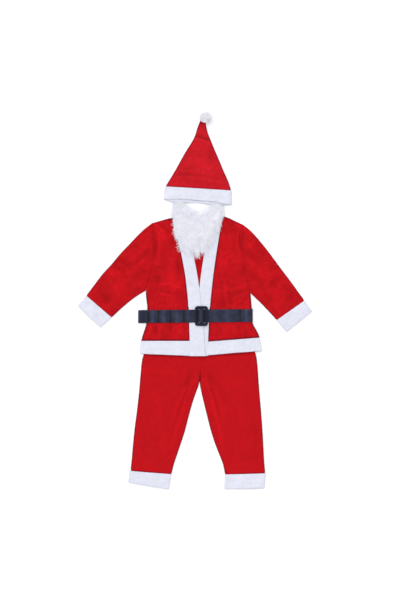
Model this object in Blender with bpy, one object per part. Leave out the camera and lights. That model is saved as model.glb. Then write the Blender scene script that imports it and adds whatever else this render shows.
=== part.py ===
"""A child's santa suit laid flat: hat, beard, jacket, belt and trousers.

+X runs across the suit, +Y from the feet to the hat, +Z up from the surface it lies on. The origin is
under the middle of the whole set. Right and left are the wearer's, so the right side lies at -X. Tables
are in millimetres.
"""

import math
from collections import namedtuple

import bmesh
import bpy
import numpy as np

MM = 0.001

# Cloth and gaps
FELT = 1.2  # red felt
WHITE = 1.6  # white felt, folded double
CASING = 1.4  # elastic casing at the waist
GAP = 0.3  # between pieces, at seams and where one lies on another
FOLD_SPACE = 0.6  # left inside a folded edge
EDGE_FLAT = 2.5  # width along an edge where the layers stay together
LEAST_SPACE = 0.4

# Heights the layers rise from each other in the middle of a piece
JACKET_LOFT = 2.2
SLEEVE_LOFT = 2.4
TROUSER_LOFT = 2.4
HAT_LOFT = 2.0
LOFT_REACH = 32.0  # distance from an edge in which most of the rise happens

# Belt
STRAP_THICK = 1.4
STRAP_WIDTH = 48.0
STRAP_Y = -56.5
STRAP_SLOPE = 0.0104  # the belt lies a little higher at the left
STRAP_TAIL_X = -210.0  # the fold that stands out past the jacket's right side
STRAP_TURN_X = 213.5  # where it turns under the jacket's left side
STRAP_LAP = (-5.0, 46.0)  # its two ends lap here, behind the jacket

# Buckle
BUCKLE_X = 24.0
BUCKLE_WIDTH = 48.0
BUCKLE_HEIGHT = 73.6
BUCKLE_THICK = 3.2
BUCKLE_SIDE = 9.0  # width of a side bar
BUCKLE_RAIL = 10.6  # height of the upper and the lower rail
BUCKLE_CORNER = 10.0
BAR_WIDTH = 12.0  # the middle bar, which the strap runs over
BAR_THICK = 2.0
RIM_ROUND = 1.0

# Beard
BACKING = 1.0
FUR_ARM = 1.9  # fur pressed flat under the hat
FUR_CROWN = 12.5  # fur's greatest depth
FUR_EDGE = 1.6
BEARD_LIFT = 4.5  # the jacket's neck carries it at this height

# Pompom
POMPOM_X = 40.5
POMPOM_Y = 678.0
POMPOM_Z = 15.5
POMPOM_RADII = (21.5, 19.6, 18.0)
TUFT_RISE = 0.1

Point = namedtuple("Point", "x y")
Section = namedtuple("Section", "right_x right_y left_x left_y")
Armhole = namedtuple("Armhole", "top_x top_y under_x under_y bow")
Fold = namedtuple("Fold", "x0 y0 x1 y1 width height")


def points(*pairs):
    return tuple(Point(*pair) for pair in pairs)


SIDES = ("right", "left")

# ---------------------------------------------------------------------------------- jacket tables
ARMHOLE = {
    "right": Armhole(-158.0, 286.0, -183.0, 38.0, 15.0),
    "left": Armhole(178.0, 280.0, 205.0, 29.0, -12.0),
}
ARMHOLE_STEPS = 10
BODY_LEVELS = (8.0, -13.0, -27.0, -56.0, -85.0, -92.0, -114.0)

# Side seams from underarm to hem band
SIDE_SEAM = {
    "right": points((-183, 38), (-178, 3), (-173, -29), (-175, -64), (-177, -85), (-187, -112), (-198, -148)),
    "left": points((205, 29), (206, 1), (209, -29), (210, -56), (210, -85), (229, -112), (238, -136)),
}
# Where each red front meets its white trim, from shoulder to hem
FRONT_EDGE = {
    "right": points(
        (-79, 305), (-66, 240), (-51, 178), (-35, 95), (-25, 3), (-21, -79), (-19, -148), (-19, -205)
    ),
    "left": points(
        (100, 312), (90, 243), (79, 178), (67, 95), (57, 3), (51, -79), (48, -151), (47, -203)
    ),
}
# The trims' other edges, which leave the neck open in a V
TRIM_EDGE = {
    "right": points(
        (-32, 300), (-23, 243), (-12, 195), (-1, 143), (9, 92), (16, 40), (23, -16), (31, -93), (39, -206)
    ),
    "left": points(
        (54, 302), (45, 240), (37, 188), (30, 143), (22, 92), (16, 36), (11, -16), (6, -79), (2, -204)
    ),
}
TRIM_END_ROWS = (-176.0, -205.0)

NECK_OUTER = points((-79, 305), (-55, 277), (11, 256), (74, 280), (100, 312))
NECK_INNER = points((-32, 300), (-15, 291), (11, 288), (37, 293), (54, 302))

HEM_LOWER = {
    "right": points((-202, -194), (-165, -197), (-108, -199), (-19, -203)),
    "left": points((245, -184), (189, -189), (156, -191), (90, -197), (47, -201)),
}
HEM_BACK_SHORT = 2.5  # the back hem ends this much higher, out of sight

SLEEVE_TOP = {
    "right": points((-158, 286), (-197, 256), (-240, 210), (-283, 166), (-300, 140), (-335, 106), (-401, 18)),
    "left": points((178, 280), (214, 251), (238, 222), (277, 174), (308, 130), (339, 90), (404, 0)),
}
SLEEVE_UNDER = {
    "right": points((-183, 38), (-217, 17), (-248, -6), (-278, -32), (-309, -61)),
    "left": points((205, 29), (247, -11), (277, -42), (303, -71)),
}
CUFF_END = {
    "right": points((-432, -20), (-350, -98)),
    "left": points((432, -39), (339, -114)),
}

JACKET_FOLDS = (
    Fold(-152, 262, -155, 165, 9, -1.1),  # along the right armhole
    Fold(-128, 285, -108, 215, 10, 0.9),
    Fold(-146, 95, -60, 62, 12, 0.9),  # across the right front, under the arm
    Fold(-165, 60, -75, 28, 11, -0.8),
    Fold(178, 262, 181, 190, 8, -1.1),  # along the left armhole
    Fold(186, 215, 206, 150, 12, 1.0),
    Fold(104, 60, 110, -20, 8, -0.9),  # down the left front
    Fold(138, 110, 92, 20, 13, 0.9),
    Fold(-165, -95, -150, -140, 9, 0.9),  # flares under the belt
    Fold(-120, -92, -128, -135, 10, -0.6),
    Fold(-52, -92, -60, -138, 9, 0.7),
    Fold(110, -90, 120, -135, 9, 0.8),
    Fold(168, -88, 190, -130, 10, -0.6),
)
SLEEVE_FOLDS = (
    Fold(-215, 190, -190, 70, 14, -0.9),
    Fold(-265, 110, -240, 40, 12, 0.7),
    Fold(-330, 70, -290, 5, 13, -0.6),
    Fold(222, 185, 214, 70, 14, -0.9),
    Fold(285, 105, 262, 25, 12, 0.8),
    Fold(352, 45, 318, -25, 12, -0.6),
)

# --------------------------------------------------------------------------------- trouser tables
LEG_OUTER = {
    "right": points(
        (-130, -119), (-168, -160), (-191, -200), (-197, -240), (-203, -308), (-207, -352),
        (-214, -412), (-222, -471), (-228, -530), (-233, -589), (-237, -627)
    ),
    "left": points(
        (166, -119), (203, -160), (224, -192), (230, -240), (236, -323), (241, -382),
        (246, -441), (250, -500), (253, -560), (256, -612), (259, -637)
    ),
}
CROTCH = Point(17.0, -304.0)
CENTRE_SEAM = points((18, -119), (20, -160), (22, -198), (21, -245), (19, -285), CROTCH)
INSEAM = {
    "right": points(
        CROTCH, (4, -335), (-7, -366), (-24, -426), (-39, -486), (-59, -545), (-79, -604), (-88, -641)
    ),
    "left": points(
        CROTCH, (24, -335), (31, -366), (46, -426), (61, -486), (81, -545), (104, -600), (112, -642)
    ),
}
ANKLE_END = {
    "right": points((-246, -672), (-98, -697)),
    "left": points((256, -694), (110, -696)),
}
ANKLE_SEAM = {
    "right": points((-240, -629), (-88, -641)),
    "left": points((261, -638), (112, -642)),
}
WAIST = Section(-124.0, -93.5, 160.0, -93.5)
WAIST_LOWER = Section(-130.0, -118.7, 166.0, -118.7)
HIDDEN_TOP = 3.5  # the trousers' height where the jacket lies on them
BARE_FROM_Y = -206.0

TROUSER_FOLDS = (
    Fold(20, -215, 18, -290, 11, -1.6),  # along the centre seam
    Fold(4, -305, -70, -380, 13, 0.9),  # from the crotch down each leg
    Fold(-15, -355, -62, -470, 12, -0.9),
    Fold(30, -305, 92, -385, 13, 0.9),
    Fold(48, -362, 84, -480, 12, -0.9),
    Fold(-190, -262, -60, -268, 14, 0.8),
    Fold(215, -300, 120, -330, 16, 0.7),
    Fold(-150, -420, -120, -560, 18, 0.7),
    Fold(150, -440, 178, -590, 18, 0.7),
)

# --------------------------------------------------------------------------- hat and beard tables
HAT_SECTIONS = (
    Section(-107, 423.5, 133, 408),
    Section(-86, 458, 121, 445),
    Section(-67, 490, 107, 474),
    Section(-50, 521, 95, 504),
    Section(-34, 550, 82, 534),
    Section(-16, 578, 70, 562),
    Section(1, 606, 58, 592),
    Section(8, 634, 44, 627),
    Section(22, 668, 37.4, 666),
)
BAND_UPPER = points((-109, 423), (-77, 420), (-9, 418), (13, 416), (47, 411), (134, 408))
BAND_FRONT_LOWER = points((-115, 376), (-41, 376), (13, 372), (71, 367), (100, 360), (136, 355))
BAND_BACK_LOWER = points((-115, 376), (-79, 367), (-41, 365), (31, 360), (100, 356), (136, 355))
HAT_FOLDS = (
    Fold(4, 605, 58, 588, 7, -1.3),  # the crease below the tip
    Fold(-30, 462, 85, 452, 12, 0.7),
    Fold(-55, 440, 60, 432, 8, -0.6),
)

# The beard from one arm round its lower edge to the other: its upper, inner edge and its outer edge
BeardSection = namedtuple("BeardSection", "inner_x inner_y outer_x outer_y")
BEARD = (
    BeardSection(-40, 384, -83, 384),
    BeardSection(-40, 364, -84, 338),
    BeardSection(-31, 355, -84, 300),
    BeardSection(-21, 348, -77, 252),
    BeardSection(-12, 343, -66, 208),
    BeardSection(-2, 337, -43, 172),
    BeardSection(8, 332, -15, 158),
    BeardSection(16, 330, 13, 155),
    BeardSection(24, 334, 37, 164),
    BeardSection(33, 339, 60, 194),
    BeardSection(41, 345, 80, 235),
    BeardSection(48, 350, 96, 277),
    BeardSection(55, 357, 106, 322),
    BeardSection(56, 368, 105, 348),
    BeardSection(56, 384, 103, 384),
)
FUR_ROWS = 41
FUR_SPREAD = (0.0, 0.1, 0.25, 0.42, 0.6, 0.78, 0.9, 1.0)
BACKING_SPREAD = FUR_SPREAD[1:-2]  # the backing ends short of the fur all round
ARM_RIGHT = (-100.0, -24.0)  # across where the hat is lifted by each arm
ARM_LEFT = (39.0, 120.0)
ARM_TOP_Y = 393.0


# ------------------------------------------------------------------------------- curves and grids
def rise(value, low, high):
    """0 below low, 1 above high, and a smooth step between them."""
    t = np.clip((value - low) / (high - low), 0.0, 1.0)
    return t * t * (3.0 - 2.0 * t)


def plateau(value, low, high, ramp):
    """1 from low to high, falling smoothly to 0 within ramp outside them."""
    return rise(value, low - ramp, low) * (1.0 - rise(value, high, high + ramp))


def x_at(table, y):
    """x of a line of points, listed from top to bottom, at the height y."""
    return np.interp(-np.asarray(y, float), [-p.y for p in table], [p.x for p in table])


def smooth_line(table, count):
    """count points evenly spaced along a Catmull-Rom curve through the table's points."""
    knots = np.array(table, float)
    if len(knots) == 2:
        return knots[0] + np.linspace(0.0, 1.0, count)[:, None] * (knots[1] - knots[0])
    padded = np.vstack((2 * knots[0] - knots[1], knots, 2 * knots[-1] - knots[-2]))
    t = np.linspace(0.0, 1.0, 16, endpoint=False)[:, None]
    spans = []
    for a, b, c, d in zip(padded, padded[1:], padded[2:], padded[3:]):
        bend = (2 * a - 5 * b + 4 * c - d) * t**2 + (3 * b - a - 3 * c + d) * t**3
        spans.append(0.5 * (2 * b + (c - a) * t + bend))
    fine = np.vstack(spans + [knots[-1:]])
    length = np.concatenate(([0.0], np.cumsum(np.linalg.norm(np.diff(fine, axis=0), axis=1))))
    wanted = np.linspace(0.0, length[-1], count)
    return np.column_stack((np.interp(wanted, length, fine[:, 0]), np.interp(wanted, length, fine[:, 1])))


def ruled(start, end, fractions):
    """Grid of straight rows from each point of start to its fellow in end."""
    share = np.asarray(fractions)[None, :, None]
    return start[:, None, :] * (1.0 - share) + end[:, None, :] * share


def coons(first, last, start, end):
    """Grid that fills four edges: its first and last rows, and its start and end columns."""
    u = np.linspace(0.0, 1.0, len(start))[:, None, None]
    v = np.linspace(0.0, 1.0, len(first))[None, :, None]
    rows = first[None] * (1 - u) + last[None] * u
    columns = start[:, None] * (1 - v) + end[:, None] * v
    corners = (first[0] * (1 - v) + first[-1] * v) * (1 - u) + (last[0] * (1 - v) + last[-1] * v) * u
    return rows + columns - corners


def unit(vectors):
    return vectors / np.linalg.norm(vectors, axis=-1, keepdims=True)


def part_seams(grid, first=True, last=True):
    """The grid with its first and last rows drawn back by half the gap that a seam keeps."""
    out = grid.copy()
    if first:
        out[0] += unit(grid[1] - grid[0]) * GAP / 2
    if last:
        out[-1] += unit(grid[-2] - grid[-1]) * GAP / 2
    return out


def part_sides(grid, start=True, end=True):
    """The same for the grid's first and last columns."""
    return part_seams(grid.transpose(1, 0, 2), start, end).transpose(1, 0, 2)


def distance_to(grid, line):
    """Distance of each grid point from a line of points."""
    a = np.array(line[:-1], float)
    b = np.array(line[1:], float)
    along = b - a
    offset = grid[..., None, :] - a
    share = np.clip((offset * along).sum(-1) / (along**2).sum(-1), 0.0, 1.0)
    return np.linalg.norm(offset - share[..., None] * along, axis=-1).min(-1)


def loft(grid, outline, most):
    """How far a layer rises from the one under it: nothing along the outline, most in the middle."""
    inside = np.min([distance_to(grid, line) for line in outline], axis=0)
    return most * (1.0 - np.exp(-np.maximum(inside - EDGE_FLAT, 0.0) / LOFT_REACH))


def fold_height(grid, folds):
    """Sum of soft ridges and troughs, each a bell across the line that it runs along."""
    total = np.zeros(grid.shape[:-1])
    for fold in folds:
        near = distance_to(grid, ((fold.x0, fold.y0), (fold.x1, fold.y1)))
        total += fold.height * np.exp(-((near / fold.width) ** 2))
    return total


# ----------------------------------------------------------------------------------------- solids
def felt(name, colour, roughness):
    material = bpy.data.materials.new(name)
    material.use_nodes = True
    shader = material.node_tree.nodes["Principled BSDF"]
    shader.inputs["Base Color"].default_value = (*colour, 1.0)
    shader.inputs["Roughness"].default_value = roughness
    shader.inputs["Metallic"].default_value = 0.0
    return material


def raised(grid, height):
    """Grid of plan points with a height each."""
    return np.concatenate((grid, np.broadcast_to(height, grid.shape[:-1])[..., None]), axis=-1)


def add_object(name, vertices, faces, material):
    mesh = bpy.data.meshes.new(name)
    mesh.from_pydata((np.asarray(vertices) * MM).tolist(), [], faces)
    work = bmesh.new()
    work.from_mesh(mesh)
    bmesh.ops.recalc_face_normals(work, faces=work.faces)
    work.to_mesh(mesh)
    work.free()
    mesh.materials.append(material)
    mesh.shade_smooth()
    mesh.set_sharp_from_angle(angle=math.radians(40))
    made = bpy.data.objects.new(name, mesh)
    bpy.context.scene.collection.objects.link(made)
    return made


def wall(name, outer, inner, material):
    """Closed solid between two grids of points, with its four edges walled."""
    rows, columns = outer.shape[:2]
    index = np.arange(rows * columns).reshape(rows, columns)
    shift = rows * columns
    near, far = index[:-1, :-1], index[1:, 1:]
    halves = (np.stack((near, index[:-1, 1:], far), axis=-1), np.stack((near, far, index[1:, :-1]), axis=-1))
    skin = np.concatenate([half.reshape(-1, 3) for half in halves])
    rim = np.concatenate((index[0, :], index[1:, -1], index[-1, -2::-1], index[-2:0:-1, 0]))
    around = np.stack((rim, np.roll(rim, -1), np.roll(rim, -1) + shift, rim + shift), axis=-1)
    faces = skin.tolist() + (skin[:, ::-1] + shift).tolist() + around[:, ::-1].tolist()
    vertices = np.vstack((outer.reshape(-1, 3), inner.reshape(-1, 3)))
    return add_object(name, vertices, faces, material)


def panel(name, grid, height, thick, material):
    """A single layer of cloth whose under side lies at height."""
    return wall(name, raised(grid, height + thick), raised(grid, height), material)


def folded(name, grid, under, space, thick, material, back_grid=None, back_step=2):
    """Cloth folded along its first column: a back layer, the fold and a front layer, as one wall.

    under and space are functions of a grid: the height that the back layer lies at, and the room between
    the layers.
    """
    radius = thick + FOLD_SPACE / 2
    across = unit(grid[:, 1] - grid[:, 0])
    front = grid.copy()
    front[:, 0] += across * radius
    back = front.copy() if back_grid is None else back_grid.copy()
    back[:, 0] = front[:, 0]
    back = back[:, ::-back_step]
    floor = under(back)
    ceiling = under(front) + thick + space(front)
    floor[:, -1] = under(front[:, :1])[:, 0]
    middle = raised(front[:, 0], floor[:, -1] + radius)
    sideways = raised(across, 0.0)
    upwards = np.array((0.0, 0.0, 1.0))
    turn_outer = []
    turn_inner = []
    for angle in np.radians((45.0, 90.0, 135.0)):
        direction = -math.sin(angle) * sideways - math.cos(angle) * upwards
        turn_outer.append(middle + direction * radius)
        turn_inner.append(middle + direction * FOLD_SPACE / 2)
    outer = (raised(back, floor), np.stack(turn_outer, 1), raised(front, ceiling + thick))
    inner = (raised(back, floor + thick), np.stack(turn_inner, 1), raised(front, ceiling))
    return wall(name, np.concatenate(outer, axis=1), np.concatenate(inner, axis=1), material)


# ---------------------------------------------------------------------------------------- heights
def under_jacket(grid):
    """The height that the jacket's back lies at: on the belt's back, the trousers' top or the surface."""
    x, y = grid[..., 0], grid[..., 1]
    lap = plateau(x, STRAP_LAP[0] - 24.0, STRAP_LAP[1] + 24.0, 25.0)
    belt = (STRAP_THICK + GAP) * (1.0 + lap) * plateau(y, -86.0, -27.0, 13.0)
    beside = plateau(x, x_at(LEG_OUTER["right"], y) - 22.0, x_at(LEG_OUTER["left"], y) + 22.0, 25.0)
    trousers = (HIDDEN_TOP + GAP) * rise(-y, 85.0, 91.5) * beside
    return np.maximum(belt, trousers)


def under_hat(grid):
    """The hat's brim lies on the beard's two arms."""
    x, y = grid[..., 0], grid[..., 1]
    arms = np.maximum(plateau(x, *ARM_RIGHT, 14.0), plateau(x, *ARM_LEFT, 13.0))
    return (BACKING + GAP + FUR_ARM + GAP) * arms * (1.0 - rise(y, ARM_TOP_Y, ARM_TOP_Y + 20.0))


def under_beard(grid):
    """The beard lies on the jacket's neck, and its arms come down to the surface above it."""
    return BEARD_LIFT * (1.0 - rise(grid[..., 1], 312.0, 348.0))


def on_surface(grid):
    return np.zeros(grid.shape[:-1])


def jacket_outline():
    lines = []
    for side in SIDES:
        lines += [SLEEVE_TOP[side], SLEEVE_UNDER[side], SIDE_SEAM[side]]
    return lines


def jacket_space(grid):
    """Room between the jacket's back and its front: the belt, the beard and the trims hold it down."""
    x, y = grid[..., 0], grid[..., 1]
    free = 1.0 - plateau(y, -86.0, -27.0, 24.0)
    free = free * (1.0 - plateau(y, 150.0, 330.0, 30.0) * plateau(x, -70.0, 92.0, 25.0))
    free = free * rise(np.abs(x - 14.0), 30.0, 85.0)
    free = free * (1.0 - 0.7 * rise(-y, 120.0, 150.0))
    room = loft(grid, jacket_outline(), JACKET_LOFT) + fold_height(grid, JACKET_FOLDS)
    return np.maximum(LEAST_SPACE + room * free, LEAST_SPACE)


def sleeve_space(grid):
    room = loft(grid, jacket_outline(), SLEEVE_LOFT)
    near_edge = room / SLEEVE_LOFT
    return np.maximum(FOLD_SPACE + room + near_edge * fold_height(grid, SLEEVE_FOLDS), LEAST_SPACE)


def trouser_space(grid):
    outline = [LEG_OUTER[side] for side in SIDES] + [INSEAM[side] for side in SIDES]
    room = loft(grid, outline, TROUSER_LOFT)
    near_edge = room / TROUSER_LOFT
    bare = rise(-grid[..., 1], -BARE_FROM_Y, -BARE_FROM_Y + 45.0)
    room = room * (0.1 + 0.9 * bare)
    return np.maximum(FOLD_SPACE + room + near_edge * bare * fold_height(grid, TROUSER_FOLDS), LEAST_SPACE)


def hat_space(grid):
    sides = [[(s.right_x, s.right_y) for s in HAT_SECTIONS], [(s.left_x, s.left_y) for s in HAT_SECTIONS]]
    room = loft(grid, sides, HAT_LOFT)
    near_edge = room / HAT_LOFT
    pressed = 1.0 - 0.5 * rise(-grid[..., 1], -420.0, -390.0)
    return np.maximum(FOLD_SPACE + room * pressed + near_edge * fold_height(grid, HAT_FOLDS), LEAST_SPACE)


# ----------------------------------------------------------------------------------------- jacket
FRONT_SPREAD = (0.0, 0.07, 0.18, 0.34, 0.52, 0.76, 1.0)
TRIM_SPREAD = (0.0, 0.2, 0.4, 0.6, 0.8, 1.0)
NECK_COLUMNS = 7
HEM_SPREAD = (0.0, 0.35, 0.7, 1.0)
SLEEVE_ROWS = 11
CUFF_SPREAD = (0.0, 0.5, 1.0)


def armhole_line(side):
    hole = ARMHOLE[side]
    t = np.linspace(0.0, 1.0, ARMHOLE_STEPS + 1)
    x = hole.top_x + (hole.under_x - hole.top_x) * t + 4.0 * hole.bow * t * (1.0 - t)
    return np.column_stack((x, hole.top_y + (hole.under_y - hole.top_y) * t))


def side_line(side):
    """The panels' side edge: down the armhole, then down the side seam."""
    seam = SIDE_SEAM[side]
    levels = np.array(BODY_LEVELS + (seam[-1].y,))
    return np.vstack((armhole_line(side), np.column_stack((x_at(seam, levels), levels))))


def front_levels(side):
    """Heights of a front edge's points, one to each point of the side edge."""
    edge = FRONT_EDGE[side]
    beside_arm = np.linspace(edge[0].y, ARMHOLE[side].under_y - 4.0, ARMHOLE_STEPS + 1)
    return np.concatenate((beside_arm, BODY_LEVELS, [edge[-2].y]))


def front_plan(side):
    """A front's points, from the side edge to the edge that takes the trim."""
    levels = front_levels(side)
    inner = np.column_stack((x_at(FRONT_EDGE[side], levels), levels))
    return ruled(side_line(side), inner, FRONT_SPREAD)


def clear_of_sleeve(grid):
    """The grid with the armhole part of its first column drawn back by half a seam's gap."""
    out = grid.copy()
    hole = slice(0, ARMHOLE_STEPS + 1)
    out[hole, 0] += unit(grid[hole, 1] - grid[hole, 0]) * GAP / 2
    return out


def across_suit(grid, side):
    """The grid with its columns in order from right to left, so that layers bend along the same diagonals."""
    return grid if side == "right" else grid[:, ::-1]


def front_height(grid):
    """Where the fronts' under side lies: clear of the back, and of its thicker hem band."""
    behind = FELT + (WHITE - FELT) * rise(-grid[..., 1], 96.0, 112.0)
    return under_jacket(grid) + behind + jacket_space(grid)


def make_fronts(red):
    for side in SIDES:
        grid = part_sides(part_seams(front_plan(side), first=False), start=False)
        grid = across_suit(clear_of_sleeve(grid), side)
        panel(f"jacket_front_{side}", grid, front_height(grid), FELT, red)


def back_plan():
    """The back's points: those of the two fronts, and between them a part that dips at the neck."""
    right, left = front_plan("right"), front_plan("left")
    neck = smooth_line(NECK_OUTER, NECK_COLUMNS)
    middle = ruled(right[:, -1], left[:, -1], np.linspace(0.0, 1.0, NECK_COLUMNS))
    rows = slice(0, ARMHOLE_STEPS + 1)
    middle[rows] = coons(neck, middle[ARMHOLE_STEPS], right[rows, -1], left[rows, -1])
    return np.concatenate((right, middle[:, 1:-1], left[:, ::-1]), axis=1)


def make_back(red):
    grid = part_seams(back_plan())
    grid = clear_of_sleeve(grid)
    grid = clear_of_sleeve(grid[:, ::-1])[:, ::-1]
    panel("jacket_back", grid, under_jacket(grid), FELT, red)


def trim_lap(grid):
    """The right trim lies on the left one where they cross."""
    free_edge = x_at(TRIM_EDGE["left"], grid[..., 1])
    below = rise(-grid[..., 1], -75.0, -35.0)
    return (WHITE + GAP) * rise(grid[..., 0], free_edge - 16.0, free_edge - 4.0) * below


def trim_height(grid):
    """Where the trims' under side lies: clear of the neck trim and the hem band behind them."""
    return under_jacket(grid) + WHITE + jacket_space(grid)


def make_trims(white):
    for side in SIDES:
        levels = np.concatenate((front_levels(side), TRIM_END_ROWS))
        outer = np.column_stack((x_at(FRONT_EDGE[side], levels), levels))
        inner_levels = np.minimum(levels, TRIM_EDGE[side][0].y)
        inner = np.column_stack((x_at(TRIM_EDGE[side], inner_levels), inner_levels))
        grid = part_sides(ruled(outer, inner, TRIM_SPREAD), end=False)
        lap = trim_lap(grid) if side == "right" else 0.0
        panel(f"front_trim_{side}", grid, trim_height(grid) + lap, WHITE, white)


def make_neck_trim(white):
    outer, inner = smooth_line(NECK_OUTER, NECK_COLUMNS), smooth_line(NECK_INNER, NECK_COLUMNS)
    grid = part_sides(ruled(outer, inner, (0.0, 0.5, 1.0)), end=False)
    panel("neck_trim", grid, on_surface(grid), WHITE, white)


def hem_plan(side):
    """A front hem band's points, under the front's last row and with its spread of columns."""
    upper = front_plan(side)[-1]
    fine = smooth_line(HEM_LOWER[side], 60)
    x = fine[0, 0] + np.array(FRONT_SPREAD) * (fine[-1, 0] - fine[0, 0])
    order = np.argsort(fine[:, 0])
    lower = np.column_stack((x, np.interp(x, fine[order, 0], fine[order, 1])))
    return ruled(upper, lower, HEM_SPREAD).transpose(1, 0, 2)


def make_hems(white):
    for side in SIDES:
        grid = across_suit(part_sides(part_seams(hem_plan(side), last=False), start=False), side)
        height = under_jacket(grid) + WHITE + jacket_space(grid)
        panel(f"hem_band_front_{side}", grid, height, WHITE, white)
    right, left = hem_plan("right"), hem_plan("left")
    middle = ruled(right[:, -1], left[:, -1], np.linspace(0.0, 1.0, NECK_COLUMNS))
    grid = np.concatenate((right, middle[:, 1:-1], left[:, ::-1]), axis=1)
    grid[..., 1] += HEM_BACK_SHORT * np.array(HEM_SPREAD)[:, None]
    grid = part_seams(grid, last=False)
    panel("hem_band_back", grid, under_jacket(grid), WHITE, white)


def make_sleeves(red, white):
    for side in SIDES:
        cuff_seam = smooth_line((SLEEVE_TOP[side][-1], SLEEVE_UNDER[side][-1]), ARMHOLE_STEPS + 1)
        top = smooth_line(SLEEVE_TOP[side], SLEEVE_ROWS)
        bottom = smooth_line(SLEEVE_UNDER[side], SLEEVE_ROWS)
        grid = coons(armhole_line(side), cuff_seam, top, bottom)
        folded(f"sleeve_{side}", part_seams(grid), on_surface, sleeve_space, FELT, red)
        cuff = ruled(cuff_seam[::2], smooth_line(CUFF_END[side], ARMHOLE_STEPS // 2 + 1), CUFF_SPREAD)
        cuff = part_seams(cuff.transpose(1, 0, 2), last=False)
        folded(f"sleeve_cuff_{side}", cuff, on_surface, cuff_space, WHITE, white, back_step=1)


def cuff_space(grid):
    """Room inside a cuff: a little, in its middle."""
    span = np.linalg.norm(grid[:, -1:] - grid[:, :1], axis=-1)
    along = np.linalg.norm(grid - grid[:, :1], axis=-1) / span
    return FOLD_SPACE + 1.6 * np.sin(math.pi * np.clip(along, 0.0, 1.0)) ** 2


# --------------------------------------------------------------------------------------- trousers
CENTRE_ROWS = 7
INSEAM_ROWS = 11
LEG_COLUMNS = 11
ANKLE_COLUMNS = 7
WAIST_COLUMNS = 13
FINE_STEPS = 200


def picked(line, shares):
    """Points of an evenly spaced line at the given shares of its length."""
    fine = np.linspace(0.0, 1.0, len(line))
    return np.column_stack((np.interp(shares, fine, line[:, 0]), np.interp(shares, fine, line[:, 1])))


def make_legs(red, white):
    for side in SIDES:
        towards = -GAP / 2 if side == "right" else GAP / 2
        centre = smooth_line(CENTRE_SEAM, CENTRE_ROWS)
        inseam = smooth_line(INSEAM[side], INSEAM_ROWS)[1:]
        inner = np.vstack((centre, inseam)) + (towards, 0.0)
        length = np.concatenate(([0.0], np.cumsum(np.linalg.norm(np.diff(inner, axis=0), axis=1))))
        outer = picked(smooth_line(LEG_OUTER[side], FINE_STEPS), length / length[-1])
        grid = ruled(outer, inner, np.linspace(0.0, 1.0, LEG_COLUMNS))
        folded(f"trouser_leg_{side}", part_seams(grid), on_surface, trouser_space, FELT, red)
        seam = smooth_line(ANKLE_SEAM[side], ANKLE_COLUMNS)
        end = smooth_line(ANKLE_END[side], ANKLE_COLUMNS)
        cuff = part_seams(ruled(seam, end, CUFF_SPREAD).transpose(1, 0, 2), last=False)
        folded(f"trouser_cuff_{side}", cuff, on_surface, cuff_space, WHITE, white, back_step=1)


def casing_space(grid):
    return np.full(grid.shape[:-1], FOLD_SPACE)


def make_waistband(red):
    edges = []
    for edge in (WAIST, WAIST_LOWER):
        ends = ((edge.right_x, edge.right_y), (edge.left_x, edge.left_y))
        edges.append(smooth_line(ends, WAIST_COLUMNS))
    grid = ruled(edges[0], edges[1], CUFF_SPREAD).transpose(1, 0, 2)
    folded("trouser_waistband", grid, on_surface, casing_space, CASING, red)


# -------------------------------------------------------------------------------------------- hat
HAT_ROWS = 12
BRIM_COLUMNS = 9


def halved(line):
    """The line with a point added in the middle of each of its steps."""
    out = np.empty((2 * len(line) - 1, 2))
    out[::2] = line
    out[1::2] = (line[1:] + line[:-1]) / 2
    return out


def make_hat(red, white):
    seam_side = smooth_line([(s.right_x, s.right_y) for s in HAT_SECTIONS], HAT_ROWS)
    fold_side = smooth_line([(s.left_x, s.left_y) for s in HAT_SECTIONS], HAT_ROWS)
    brim = smooth_line(BAND_UPPER, BRIM_COLUMNS)[::-1]
    tip = smooth_line((fold_side[-1], seam_side[-1]), BRIM_COLUMNS)
    cone_brim = brim.copy()
    cone_brim[0] = fold_side[0]
    cone_brim[-1] = seam_side[0]
    cone = part_seams(coons(cone_brim, tip, fold_side, seam_side), last=False)
    folded("hat_cone", cone, under_hat, hat_space, FELT, red, back_step=1)
    upper = halved(brim)
    layers = []
    for edge in (BAND_FRONT_LOWER, BAND_BACK_LOWER):
        lower = smooth_line(edge, len(upper))[::-1]
        plan = ruled(upper, lower, np.linspace(0.0, 1.0, 5)).transpose(1, 0, 2)
        layers.append(part_seams(plan, last=False))
    folded("hat_band", layers[0], under_hat, cuff_space, WHITE, white, back_grid=layers[1], back_step=1)


def make_pompom(fur):
    """A ball of tufts: the points of a coarse ball stand out from those of a finer one between them."""
    coarse = bmesh.new()
    bmesh.ops.create_icosphere(coarse, subdivisions=2, radius=1.0)
    tips = np.array([vertex.co.normalized() for vertex in coarse.verts])
    coarse.free()
    fine = bmesh.new()
    bmesh.ops.create_icosphere(fine, subdivisions=3, radius=1.0)
    directions = np.array([vertex.co.normalized() for vertex in fine.verts])
    faces = [[vertex.index for vertex in face.verts] for face in fine.faces]
    fine.free()
    is_tip = (directions @ tips.T).max(axis=1) > 0.9999
    reach = np.where(is_tip, 1.0, 1.0 - TUFT_RISE)
    ball = directions * reach[:, None] * POMPOM_RADII + (POMPOM_X, POMPOM_Y, POMPOM_Z)
    ball[:, 2] = np.maximum(ball[:, 2], 0.0)
    add_object("hat_pompom", ball, faces, fur)


# ------------------------------------------------------------------------------------------ beard
def beard_edges():
    inner = smooth_line([(s.inner_x, s.inner_y) for s in BEARD], FUR_ROWS)
    outer = smooth_line([(s.outer_x, s.outer_y) for s in BEARD], FUR_ROWS)
    return inner, outer


def make_beard_backing(white):
    inner, outer = beard_edges()
    grid = ruled(inner, outer, BACKING_SPREAD)
    panel("beard_backing", grid, under_beard(grid), BACKING, white)


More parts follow.
